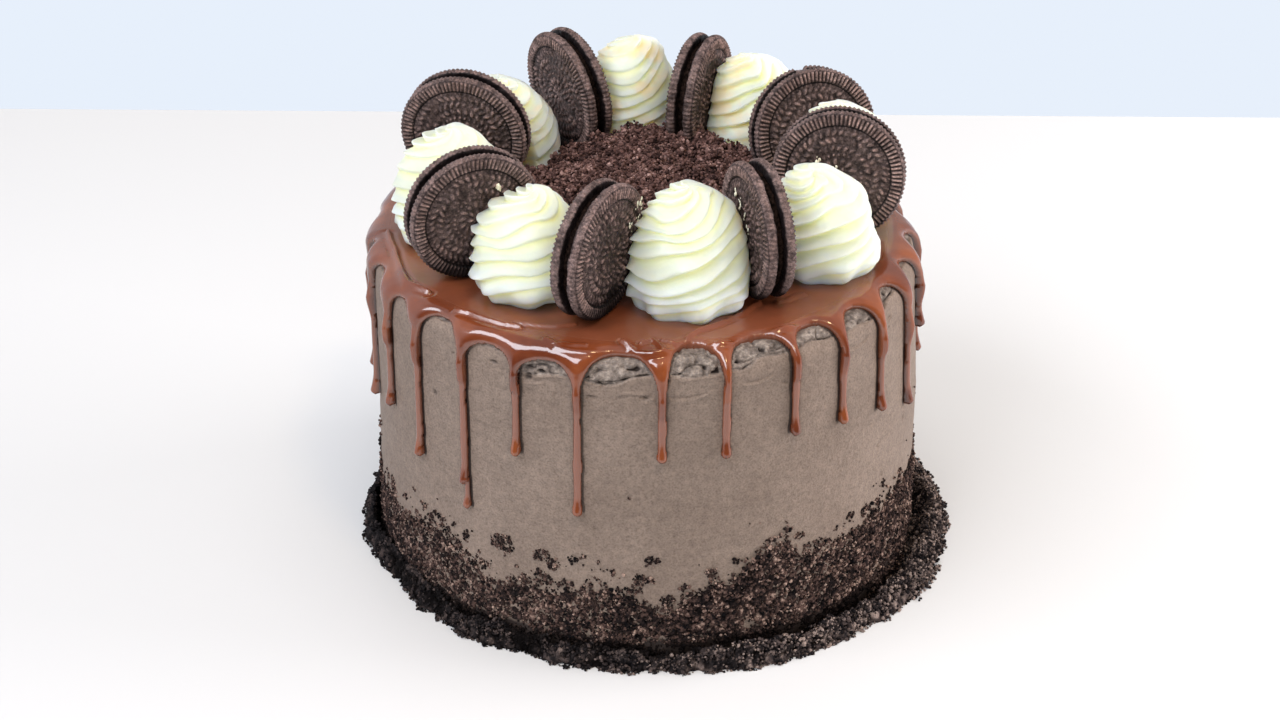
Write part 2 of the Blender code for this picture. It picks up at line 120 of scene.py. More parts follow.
# Thin ridges left in the poured glaze: points of azimuth and travel, then height and half width.
POUR_LINES = (
    (((-44, 0), (-40.5, -1), (-36.5, -1), (-32, -1), (-28, -2.2)), 1.12, 0.73),
    (((-32, -1), (-29, -4.5), (-24.5, -5.5), (-21.0, -7.3), (-17.5, -10.5)), 0.80, 0.62),
    (((-21.5, 0.6), (-18.5, 1.8), (-15.5, 1.4), (-12.5, 1.0)), 0.55, 0.42),
    (((-18.5, 2.7), (-14.5, 3.0), (-10.5, 2.8), (-7.5, 1.8)), 0.50, 0.42),
    (((3.0, -3.0), (6.0, -1.5), (9.0, -3.5)), 0.80, 0.60),
    (((-5.5, -2.5), (-2.5, 2.2), (0.5, 3.0), (4.5, 2.2), (6.5, 0.5)), 1.35, 0.73),
    (((-1.5, -1.5), (1.0, -3.5), (2.5, 1.0), (4.5, 2.6)), 0.95, 0.62),
    (((8.5, -4), (12, -8), (17.5, -10.5), (24, -13.5), (29, -16.5), (32.5, -18)), 1.12, 0.73),
    (((8.5, -4), (8.2, -2), (12, 0.3), (16, 1.3), (18.5, 1.3), (22, -1), (25.5, 0), (30.5, 0.5),
      (34.5, 1.2)), 1.12, 0.72),
    (((-85, -1.5), (-76, -2.5), (-70, -1.5), (-60, 1.0), (-54, -1.0)), 1.35, 0.98),
    (((36, -14.5), (40, -13.5), (45, -12.5)), 0.85, 0.62),
    (((64, -7), (72, -4), (80, -6)), 0.80, 0.98),
    (((110, -3), (122, -6), (134, -4), (150, -8)), 1.12, 0.86),
    (((170, -2), (185, -6), (196, -3), (214, -7), (230, -4)), 1.12, 0.86),
)

# Sandwich cookies: ring, azimuth, turn off the radial plane, lean.
COOKIE_RADIUS = 22.5
WAFER_THICKNESS = 3.7
FILLING_SPACE = 2.9
FILLING_RADIUS = 19.3
COOKIES = (
    (68.1, 247.9, -9.0, -4.6),
    (68.6, 204.5, -7.6, -5.8),
    (60.0, 162.6, 3.6, -0.1),
    (63.6, 117.6, 8.9, -13.5),
    (63.8, 84.8, 1.6, -7.7),
    (60.6, 35.4, 16.8, 1.5),
    (66.8, -13.7, 15.9, -2.8),
    (68.7, -56.4, 9.6, -4.4),
)
# Edge of the filling: part of the half space to a wafer, and how far out from its radius.
FILLING_EDGE = ((-1, -1.2), (-1, -0.2), (-0.5, 0.15), (0.5, 0.15), (1, -0.2), (1, -1.2))
# The left wafer of one cookie has a piece broken off its rim, at an angle in degrees.
CHIPPED_COOKIE = 4
CHIP_DEPTH = 1.6
CHIP_CENTRE = 84
CHIP_HALF_ANGLE = 5
# Pressed pattern of a wafer: ridges round the rim, then rings of leaves, each with the angle where
# it starts, its radius, half length and half width of a leaf, how many, and how far they lean.
RIM_RIDGES = 88
RIDGE_INNER = 17.6
RIDGE_OUTER = 21.6
RIDGE_HEIGHT = 0.75
RELIEF_HEIGHT = 0.65
CENTRE_RADIUS = 7.0
LEAF_RINGS = (
    (0.0, 15.3, 1.45, 0.72, 44, 0.62), (0.05, 12.6, 1.4, 0.70, 36, -0.62), (0.0, 10.0, 1.3, 0.66, 28, 0.62),
    (0.0, 7.7, 0.5, 0.5, 28, 0.0), (0.0, 5.2, 1.5, 0.72, 14, 0.35), (0.2, 2.3, 1.2, 0.62, 7, 0.0),
    (math.pi / 13, 16.9, 0.32, 0.5, 60, 0.0),
)

# Cream swirls: ring, azimuth, half depth, half width, height, how far the foot is drawn in, then
# the ridges' pitch and depth, how far the coils bulge, the side where the ridges climb most, in
# degrees to the right of the outer side, and how far the tip leans outwards and to the right.
SWIRLS = (
    (66.0, 231.0, 19.5, 19.0, 36.5, 0.20, 5.0, 1.35, 0.5, -60, -1.0, 2.0),
    (68.0, 186.5, 18.0, 17.5, 41.5, 0.20, 4.8, 1.2, 0.4, -120, -1.5, -2.0),
    (66.0, 145.5, 18.0, 18.0, 39.5, 0.20, 5.1, 1.3, 0.7, -120, 0.0, 2.0),
    (67.0, 101.0, 20.0, 14.0, 40.0, 0.20, 5.0, 1.35, 0.6, 60, -2.0, 0.0),
    (63.0, 62.0, 20.5, 19.5, 34.5, 0.30, 5.3, 1.3, 1.2, -70, -1.0, -3.0),
    (56.0, 13.0, 20.3, 20.3, 39.4, 0.16, 5.0, 1.5, 0.3, -60, 0.0, 0.5),
    (62.2, -38.8, 18.9, 19.8, 35.0, 0.34, 5.4, 1.5, 0.6, -60, -1.0, 1.6),
    (66.0, -84.0, 20.5, 20.5, 37.5, 0.20, 5.0, 1.4, 0.5, 60, 0.0, 0.0),
)
SMEARED_SWIRLS = (1, 2, 3)
STAINED_SWIRLS = (6, 7)
# Specks of cream on the wafers: cookie, wafer, radius and angle on its face, spread, how many.
CREAM_SPECKS = (
    (7, "left", 20.3, 33, 1.3, 8), (7, "left", 18.0, 37, 1.1, 6), (7, "left", 16.6, 22, 1.6, 10),
    (7, "left", 12.0, 24, 1.6, 5), (6, "right", 13.2, 58, 1.3, 5), (6, "right", 9.4, 72, 1.6, 7),
    (6, "right", 6.3, 100, 1.6, 6), (6, "right", 4.8, 150, 1.5, 5), (6, "right", 7.5, 241, 2.2, 6),
    (5, "right", 8.6, 36, 1.3, 8), (5, "right", 3.0, 58, 1.3, 8), (8, "left", 12.5, 55, 1.3, 9),
)
RIDGE_STARTS = 6
RIDGE_SWAY = 0.3
# Places up one ridge, from groove to groove, and how far out of the groove each stands.
RIDGE_SECTION = ((0.0, 0.0), (0.07, 0.30), (0.13, 0.72), (0.18, 0.97), (0.23, 0.98), (0.34, 0.80),
                 (0.48, 0.58), (0.64, 0.35), (0.82, 0.14), (1.0, 0.0))
RIDGE_OVERHANG = 0.08
FOOT_LOBES = 8
FOOT_LOBE_DEPTH = 1.3
PRESSED_MARGIN = 8.0
STAIN_REACH = 6.0

# Crumbs heaped on top, and those round the foot.
MOUND_RADIUS = 49.0
MOUND_HEIGHT = 15.0
MOUND_EDGE_HEIGHT = 10.5
MOUND_BACK_RISE = 6.5
MOUND_BACK_AZIMUTH = 168
HEAP_RADIUS = 99.6
HEAP_TO_RIGHT = 3.0
HEAP_AT_SIDES = 5.6
HEAP_HEIGHT = 7.8
# Where the heap is narrower: azimuth, how far to each side, and by how much.
HEAP_DRAWN_IN = (-66, 26, 3.0)
# Where the heap is taller: azimuth, how far to each side, and by what share.
HEAP_RAISED = (-60, 34, 0.35)
# Upper edge of the crumbs on the side: azimuth, height.
CRUMB_EDGE = (
    (-79.5, 28), (-69, 32.5), (-64, 31), (-58, 32), (-50.5, 35.5), (-45.5, 35.5), (-41, 33.5),
    (-36.5, 30),
    (-33.5, 26), (-26, 29), (-18.5, 29), (-13, 28), (-11, 31), (-6, 33), (-3, 29.5), (0, 25.5), (4.5, 21),
    (9, 28.5), (14, 33), (18, 33.5), (21.5, 38.5), (25.5, 42.5), (29.5, 44.5), (32.5, 36), (36.5, 34.5),
    (46.5, 35.5), (57, 38), (65.5, 36.5), (74, 37), (100, 34), (118, 40), (135, 27), (152, 31), (170, 33),
    (188, 42), (205, 28), (226, 30), (245, 34), (262, 38),
)
# Height and width of the painted shade in the gap between those crumbs and the heap, then how deep that shade
# is at azimuths.
GAP_TOP = 10.3
GAP_WIDTH = 3.8
GAP_DARKNESS = ((-90, 0.9), (0, 0.95), (48, 0.9), (64, 0.3), (90, 0.25), (140, 0.7), (220, 0.7))
# Height below which frosting shows between the crumbs.
THIN_BAND_TOP = 14.5
# Loose patches of crumbs above that edge: azimuth, height, radius.
CRUMB_PATCHES = (
    (-30, 38.6, 4.2), (-21.5, 38.5, 3.0), (-19, 36, 2.4), (-14.5, 39.5, 2.4), (-12.8, 40.6, 1.6),
    (1, 40.3, 2.6),
    (-1, 33.8, 2.0), (0.8, 33.2, 1.6), (-46.5, 38.5, 1.8), (-3.5, 64.7, 0.9), (18.5, 38, 1.6),
    (4.5, 25.5, 2.0),
    (7.5, 30, 1.8), (32, 42, 2.2), (-56.5, 41.5, 1.0), (-60.5, 35.5, 1.8), (-53, 38.5, 1.8), (-9.5, 39, 0.9),
    (46, 41, 1.6), (58, 44, 1.6), (128, 36, 3.5), (163, 44, 4.0), (212, 38, 3.5), (238, 43, 3.0),
)
# Loose crumbs: name, how many, seed, then the least size, the most and how few are large, and how
# many grains stick together in one.
MOUND_CRUMBS = (
    ("mound_grains", 9000, 91, (0.36, 0.74, 1.8), 1),
    ("mound_clumps", 900, 92, (0.44, 0.90, 1.8), 7),
)
SIDE_CRUMBS = (
    ("side_grains", 24000, 130, (0.36, 0.66, 1.6), 1),
    ("side_crumbs", 5000, 131, (0.40, 0.78, 1.6), 1),
    ("side_clumps", 1030, 132, (0.32, 0.60, 1.6), 7),
)
HEAP_CRUMBS = (
    ("heap_grains", 19000, 140, (0.36, 0.68, 1.8), 1),
    ("heap_crumbs", 2400, 141, (0.45, 0.95, 1.8), 1),
    ("heap_clumps", 880, 142, (0.38, 0.75, 1.8), 7),
)
CRUMB_VARIANTS = 14
# Size of the patches of lighter and darker crumbs.
CLUMP_SIZE = 3.4

# Browns of the crumbs: position, red, green, blue.
CRUMB_TONES = ((0.0, 0.004, 0.004, 0.005), (0.42, 0.025, 0.017, 0.016), (0.75, 0.112, 0.069, 0.058),
               (1.0, 0.390, 0.275, 0.225))
DARK_CRUMB_TONES = ((0.0, 0.003, 0.003, 0.004), (0.40, 0.022, 0.0185, 0.0195), (0.75, 0.092, 0.069, 0.064),
                    (1.0, 0.300, 0.230, 0.202))
MOUND_TONES = ((0.0, 0.028, 0.015, 0.014), (0.5, 0.126, 0.068, 0.060), (0.85, 0.250, 0.147, 0.130),
               (1.0, 0.410, 0.265, 0.238))
# Painted shade in the gaps between crumbs.
CREVICE_SHADE_COLOR = (0.004, 0.003, 0.003)

# Camera: place in millimetres, then pitch down, yaw and roll in degrees.
CAMERA_PLACE = (-1.01, -827.5, 518.2)
CAMERA_TURNS = (28.797, -0.111, 0.356)

# Colours round the set, below the horizon, and half the floor's width and depth in metres.
WALL_COLOR = (0.80, 0.87, 0.97)
TABLE_COLOR = (0.92, 0.885, 0.865)
FLOOR_HALF_SIZE = (0.75, 0.36)

# Lights: name, azimuth and elevation, distance, width, height, power, colour, and whether it is mirrored.
LIGHTS = (
    ("window", -50, 48, 1.3, 1.15, 0.50, 14.6, (0.90, 0.93, 1.0), True),
    ("overhead", 30, 76, 1.4, 1.0, 0.8, 6.6, (1.0, 0.98, 0.96), False),
    ("front_fill", 0, 11, 1.5, 1.3, 0.5, 8.2, (0.91, 0.97, 1.0), False),
    ("right_side", 96, 12, 1.4, 0.9, 0.5, 21.5, (0.98, 0.96, 0.98), False),
    ("warm_lamp", 24, 60, 1.3, 0.18, 0.11, 2.4, (1.0, 0.72, 0.38), True),
)


def smooth_step(part):
    """Ease from 0 to 1."""
    part = np.clip(part, 0.0, 1.0)
    return part * part * (3 - 2 * part)


def bell(value, width):
    """Bump of height 1 where the value is 0, of a half width."""
    return np.exp(-((value / width) ** 2))


def turned(azimuth, start):
    """Signed degrees from one azimuth to others."""
    return (azimuth - start + 180) % 360 - 180


def around(azimuth, pairs):
    """Value of a table of (azimuth, value) at azimuths, eased between its entries."""
    first, value = pairs[0]
    starts, values = np.array([*pairs, (first + 360.0, value)], dtype=float).T
    azimuth = (np.asarray(azimuth, dtype=float) - first) % 360 + first
    index = np.clip(np.searchsorted(starts, azimuth, side="right") - 1, 0, len(pairs) - 1)
    part = (azimuth - starts[index]) / (starts[index + 1] - starts[index])
    return values[index] + (values[index + 1] - values[index]) * smooth_step(part)


def at(azimuth, reach, height):
    """Points at azimuths, distances from the axis and heights."""
    angle = np.radians(azimuth)
    parts = (reach * np.sin(angle), -reach * np.cos(angle), height)
    return np.stack(np.broadcast_arrays(*parts), axis=-1).astype(float)


def directions(azimuth):
    """Unit vectors outwards at an azimuth and to its right."""
    radial = at(azimuth, 1.0, 0.0)
    return radial, np.array([-radial[1], radial[0], 0.0])


def shoulder(azimuth):
    """Radius of the cake's rounded shoulder."""
    angle = np.radians(azimuth)
    return SHOULDER_MEAN + SHOULDER_TO_RIGHT * np.sin(angle) + SHOULDER_TO_FRONT * np.cos(angle)


def side_reach(azimuth, height):
    """Distance from the axis to the frosted side at a height."""
    right = np.maximum(0.0, np.sin(np.radians(azimuth))) ** 2
    raised = (height - LEAN_START) / (CAKE_TOP - shoulder(azimuth) - LEAN_START)
    return CAKE_RADIUS - LEAN_IN_RIGHT * right * np.clip(raised, 0.0, 1.0)


def on_cake(azimuth, travel, lift=0.0):
    """Points a lift above the frosting, at azimuths and travels."""
    radius = shoulder(azimuth)
    angle = np.clip(travel / radius, 0.0, math.pi / 2)
    below = np.maximum(travel - radius * math.pi / 2, 0.0)
    top_reach = side_reach(azimuth, CAKE_TOP)
    lean = side_reach(azimuth, CAKE_TOP - radius - below) - top_reach
    reach = top_reach - radius + (radius + lift) * np.sin(angle) + np.minimum(travel, 0.0) + lean
    return at(azimuth, reach, CAKE_TOP - radius + (radius + lift) * np.cos(angle) - below)


def travel_to_height(azimuth, height):
    """Travel from the flat top's edge down to a height on the straight side."""
    radius = shoulder(azimuth)
    return radius * math.pi / 2 + CAKE_TOP - radius - height


def grid_corners(grid, steps):
    """Each neighbouring cell of points in a grid, with its step and a number at random of its own."""
    base = np.floor(grid).astype(np.int64)
    for step in itertools.product(steps, repeat=3):
        cell = base + step
        yield cell, step, cell[..., 0] * 73856093 ^ cell[..., 1] * 19349663 ^ cell[..., 2] * 83492791


def stir(number):
    """Mix the bits of whole numbers."""
    return (number ^ number >> 13) * 1274126177 & 0x7FFFFFFF


def noise(points, size, seed=0):
    """Smooth noise from -1 to 1 at points, with bumps of about a size, which may differ by axis."""
    grid = np.asarray(points, dtype=float) / np.asarray(size, dtype=float) + 37.7 * (seed + 1)
    part = smooth_step(grid - np.floor(grid))
    total = np.zeros(grid.shape[:-1])
    for _, step, number in grid_corners(grid, (0, 1)):
        number = stir(number)
        number = (number ^ number >> 15) & 0xFFFF
        total += np.prod(np.where(step, part, 1 - part), axis=-1) * (number / 32767.5 - 1.0)
    return total


def wobble(points, size, seed):
    """Noise in three directions."""
    return np.stack([noise(points, size, seed + axis) for axis in range(3)], axis=-1)


def lumps(points, size, seed=0):
    """Height from 0 to 1 of rounded lumps packed at random about a size apart, and each lump's own tone."""
    grid = np.asarray(points, dtype=float) / size + 19.3 * (seed + 1)
    nearest = np.full(grid.shape[:-1], 9.0)
    tone = np.zeros(grid.shape[:-1])
    for cell, _, number in grid_corners(grid, (-1, 0, 1)):
        far = 0.0
        for axis in range(3):
            number = stir(number)
            far = far + (cell[..., axis] + (number & 0xFFFF) / 65536.0 - grid[..., axis]) ** 2
        tone = np.where(far < nearest, (number >> 5 & 0xFFFF) / 65536.0, tone)
        nearest = np.minimum(nearest, far)
    return np.sqrt(np.maximum(0.0, 1.0 - nearest / 0.5)), tone


def grid_faces(rows, columns, closed=True):
    """Quads between rows of points that each hold the same number of columns."""
    here = np.arange(columns if closed else columns - 1)
    after = (here + 1) % columns
    row = np.arange(rows - 1)[:, None] * columns
    quads = np.stack([row + here, row + after, row + columns + after, row + columns + here], axis=-1)
    return quads.reshape(-1, 4)


def capped_faces(rows, columns):
    """The same quads, closed at both ends by one face."""
    ends = np.arange(columns)
    return [grid_faces(rows, columns), ends[None, ::-1], ends[None] + (rows - 1) * columns]


def flipped(groups):
    """Faces turned over."""
    return [group[:, ::-1] for group in groups]


def mesh_piece(name, points, face_groups, material, replaced=(), shade=None):
    """Mesh piece of points in millimetres and groups of faces.

    The values in shade are stored at the points under their names, for the material to read.
    """
    mesh = bpy.data.meshes.new(name)
    faces = [face for group in face_groups for face in group.tolist()]
    mesh.from_pydata(np.asarray(points, dtype=np.float32).reshape(-1, 3) * MM, [], faces)
    for label, values in (shade or {}).items():
        stored = mesh.attributes.new(label, "FLOAT", "POINT").data
        stored.foreach_set("value", np.asarray(values, dtype=np.float32).ravel())
    mesh.shade_smooth()
    mesh.materials.append(material)
    piece = bpy.data.objects.new(name, mesh)
    bpy.context.collection.objects.link(piece)
    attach(piece, "root")
    if replaced:
        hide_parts(*replaced)
    return piece


class Nodes:
    """Short names for the nodes of a material or of the surroundings."""

    def __init__(self, owner, place="Object"):
        owner.use_nodes = True
        self.owner = owner
        self.tree = owner.node_tree
        self.place = self.add("TexCoord", {}, place)

    def feed(self, target, value):
        """Link an input to an output, or set its value."""
        if isinstance(value, bpy.types.NodeSocket):
            self.tree.links.new(value, target)
        else:
            target.default_value = (*value, 1.0) if target.type == "RGBA" else value

    def add(self, kind, inputs, output, **settings):
        """An output of a new node with some inputs and settings."""
        node = self.tree.nodes.new("ShaderNode" + kind)
        for name, value in settings.items():
            setattr(node, name, value)
        for name, value in inputs.items():
            self.feed(node.inputs[name], value)
        return node.outputs[output]

    def noise(self, per_metre, detail=2.0, roughness=0.5, stretch=None):
        place = self.place
        if stretch:
            place = self.add("Mapping", {"Vector": place, "Scale": stretch}, "Vector")
        inputs = {"Vector": place, "Scale": per_metre, "Detail": detail, "Roughness": roughness}
        return self.add("TexNoise", inputs, "Fac")

    def ramp(self, value, *stops):
        """Colours along a value: stops of (position, red, green, blue)."""
        output = self.add("ValToRGB", {"Fac": value}, "Color")
        elements = output.node.color_ramp.elements
        while len(elements) < len(stops):
            elements.new(0.5)
        for element, (position, *color) in zip(elements, stops):
            element.position = position
            element.color = (*color, 1.0)
        return output

    def stored(self, name):
        """Value that the mesh stores at its points under a name."""
        return self.add("Attribute", {}, "Fac", attribute_name=name)

    def span(self, value, low, high, start=0.0, end=1.0, **settings):
        """Value taken from one range to another, clamped."""
        inputs = {"Value": value, "From Min": low, "From Max": high, "To Min": start, "To Max": end}
        return self.add("MapRange", inputs, "Result", **settings)

    def mixed(self, factor, first, second, kind="MIX"):
        return self.add("Mix", {0: factor, 6: first, 7: second}, 2, data_type="RGBA", blend_type=kind)

    def product(self, color, *others):
        for other in others:
            color = self.mixed(1.0, color, other, "MULTIPLY")
        return color

    def axes(self):
        """Parts X, Y and Z of the place."""
        return self.add("SeparateXYZ", {"Vector": self.place}, 0).node.outputs

    def added(self, value, factor, other):
        """A value times a factor, plus another value."""
        return self.add("Math", {0: value, 1: factor, 2: other}, 0, operation="MULTIPLY_ADD")

    def finish(self, color, bumps, values):
        """Give the material its colour, bumps of (height, depth in metres, strength) and plain values."""
        values = {**values, "Base Color": color}
        for height, depth, strength in bumps:
            inputs = {"Height": height, "Distance": depth, "Strength": strength}
            if "Normal" in values:
                inputs["Normal"] = values["Normal"]
            values["Normal"] = self.add("Bump", inputs, "Normal")
        for name, value in values.items():
            self.feed(self.tree.nodes["Principled BSDF"].inputs[name], value)
        return self.owner


def new_look(name):
    """Nodes of a new material."""
    return Nodes(bpy.data.materials.new(name))


def frosting_material():
    """Matte cocoa buttercream: fine grain, tiny bubbles, faint scrape lines, greyer where torn, with painted
    shade in dents and gaps.
    """
    look = new_look("cocoa_buttercream")
    blotch = look.noise(420.0, 3.0, 0.6)
    grain = look.noise(1500.0, 2.0, 0.6)
    lines = look.noise(60.0, 3.0, 0.6, (1.0, 1.0, 14.0))
    base = look.ramp(look.noise(45.0, 3.0, 0.55), (0.3, 0.192, 0.142, 0.113), (0.7, 0.230, 0.173, 0.139))
    torn = look.ramp(blotch, (0.34, 0.072, 0.059, 0.052), (0.5, 0.165, 0.134, 0.116),
                     (0.66, 0.30, 0.25, 0.215))
    base = look.mixed(look.span(look.stored("torn"), 0.0, 1.0, 0.0, 0.8), base, torn)
    # Painted shade: dents, the frosting beside the glaze's edge and the gap above the heap are darkened.
    base = look.mixed(look.span(look.stored("hollow_shade"), 0.3, 0.8), base, (0.030, 0.021, 0.018))
    mottle = look.ramp(blotch, (0.3, 0.86, 0.85, 0.85), (0.7, 1.12, 1.12, 1.12))
    speck = look.ramp(grain, (0.25, 0.62, 0.6, 0.58), (0.5, 1.0, 1.0, 1.0), (0.78, 1.22, 1.2, 1.16))
    bumps = ((lines, 0.0008, 0.35), (blotch, 0.0005, 0.25), (grain, 0.0004, 0.5))
    values = {"Roughness": 0.62, "Specular IOR Level": 0.35}
    return look.finish(look.product(base, mottle, speck), bumps, values)


def glaze_material():
    """Glossy chocolate glaze: paler where thin and, as painted sheen, on its flat top; painted shade where
    its edge meets the frosting.
    """
    look = new_look("chocolate_glaze")
    deep = look.ramp(look.noise(52.0, 3.0, 0.55), (0.34, 0.112, 0.023, 0.007), (0.5, 0.160, 0.035, 0.010),
                     (0.66, 0.225, 0.055, 0.014))
    # Paler where the glaze is thin, and painted sheen on the flat top and cap.
    shown = look.mixed(look.stored("thin_and_sheen"), deep, (0.190, 0.061, 0.032))
    # Painted shade where the glaze's edge meets the frosting and round the feet of the cookies and swirls.
    shown = look.mixed(look.span(look.stored("contact_shade"), 0.0, 1.0, 0.0, 0.88), shown, (0.014, 0.005, 0.003))
    bumps = ((look.noise(110.0), 0.0018, 0.11), (look.noise(330.0), 0.0004, 0.12))
    duller = look.span(look.stored("dull"), 0.0, 1.0, 0.13, 0.30)
    return look.finish(shown, bumps, {"Roughness": duller, "IOR": 1.76})


def wafer_material():
    """Dark baked wafer: dry, finely pitted, with wear and painted highlight on its pattern, painted shade in
    recesses and at its foot.
    """
    look = new_look("cocoa_wafer")
    grain = look.noise(1700.0, 3.0, 0.65)
    base = look.ramp(look.noise(120.0, 3.0, 0.6), (0.3, 0.115, 0.077, 0.069), (0.7, 0.183, 0.130, 0.120))
    blotch = look.ramp(look.noise(430.0, 3.0, 0.65), (0.36, 0.42, 0.42, 0.43), (0.5, 1.0, 1.0, 1.0),
                       (0.64, 1.55, 1.5, 1.47))
    # Painted light and wear: the raised pattern is lighter, partly from wear and partly as painted highlight;
    # recesses and the foot are shaded.
    wear_and_shade = look.ramp(look.span(look.stored("raised"), -0.2, 1.2), (0.0, 0.07, 0.07, 0.08),
                     (0.45, 0.74, 0.74, 0.76), (1.0, 2.0, 1.92, 1.86))
    speck = look.ramp(grain, (0.3, 0.5, 0.48, 0.46), (0.55, 1.0, 1.0, 1.0), (0.8, 2.1, 2.0, 1.95))
    bumps = ((look.noise(600.0, 3.0, 0.6), 0.0006, 0.45), (grain, 0.0003, 0.6))
    values = {"Roughness": 0.52, "Specular IOR Level": 0.14}
    return look.finish(look.product(base, blotch, wear_and_shade, speck), bumps, values)


def filling_material():
    """Dark cream between the wafers, painted near black as the shade in the narrow gap between them."""
    look = new_look("shaded_filling")
    grain = look.noise(900.0, 3.0, 0.6)
    color = look.ramp(grain, (0.35, 0.002, 0.0014, 0.0012), (0.72, 0.026, 0.015, 0.012))
    return look.finish(color, ((grain, 0.0008, 0.8),), {"Roughness": 0.9, "Specular IOR Level": 0.03})


def cream_material():
    """Ivory whipped cream, softly lit from within, with beige smears; painted light makes its grooves lighter
    and yellower, its lower parts cooler.
    """
    look = new_look("ivory_cream")
    crest = look.ramp(look.noise(60.0), (0.3, 0.615, 0.655, 0.525), (0.7, 0.650, 0.690, 0.585))
    # Painted light: the swirls' lower parts are tinted cooler and lighter.
    crest = look.mixed(look.stored("low"), crest, (0.720, 0.785, 0.710))
    # Painted light: grooves lighter and yellower than the crests, for light glowing through the cream and to
    # offset their shade.
    groove = look.mixed(look.span(look.stored("ridge"), 0.0, 0.5), (0.80, 0.825, 0.545), crest)
    smear = look.span(look.noise(75.0, 3.0, 0.6, (1.0, 1.0, 1.8)), 0.47, 0.62, 0.0, 0.75)
    stain = look.mixed(smear, groove, (0.80, 0.60, 0.33))
    bumps = ((look.noise(900.0), 0.0002, 0.25), (look.noise(260.0), 0.0005, 0.2))
    values = {"Roughness": 0.42, "Subsurface Weight": 0.9, "Subsurface Radius": (1.0, 0.9, 0.6),
              "Subsurface Scale": 0.012}
    return look.finish(look.mixed(look.stored("pressed"), groove, stain), bumps, values)


def speck_material():
    """Dried specks of cream."""
    look = new_look("cream_specks")
    color = look.ramp(look.noise(500.0), (0.3, 0.62, 0.52, 0.36), (0.6, 0.86, 0.84, 0.68))
    return look.finish(color, ((look.noise(900.0), 0.0003, 0.5),), {"Roughness": 0.55})


def crumb_material(name, tones):
    """Dry dark crumbs, each of its own brown, with painted shade in the gaps between them."""
    look = new_look(name)
    grain = look.noise(2600.0, 3.0, 0.7)
    # Painted shade: near black where the crevice shade is stored.
    base = look.mixed(look.stored("crevice_shade"), look.ramp(look.stored("tone"), *tones), CREVICE_SHADE_COLOR)
    color = look.product(base, look.ramp(grain, (0.3, 0.6, 0.6, 0.6), (0.7, 1.5, 1.45, 1.42)))
    bumps = ((look.noise(1100.0, 2.0, 0.6), 0.0008, 0.8), (grain, 0.0005, 0.8))
    return look.finish(color, bumps, {"Roughness": 0.85, "Specular IOR Level": 0.08})


def floor_material():
    """Plain pale table top, painted paler towards the right rear to even out the light on it."""
    look = new_look("pale_floor")
    axes = look.axes()
    across = look.span(look.added(axes["Y"], 1.25, axes["X"]), -0.8, 0.8)
    color = look.ramp(across, (0.0, 0.592, 0.583, 0.582), (1.0, 0.755, 0.744, 0.734))
    return look.finish(color, (), {"Roughness": 0.5})


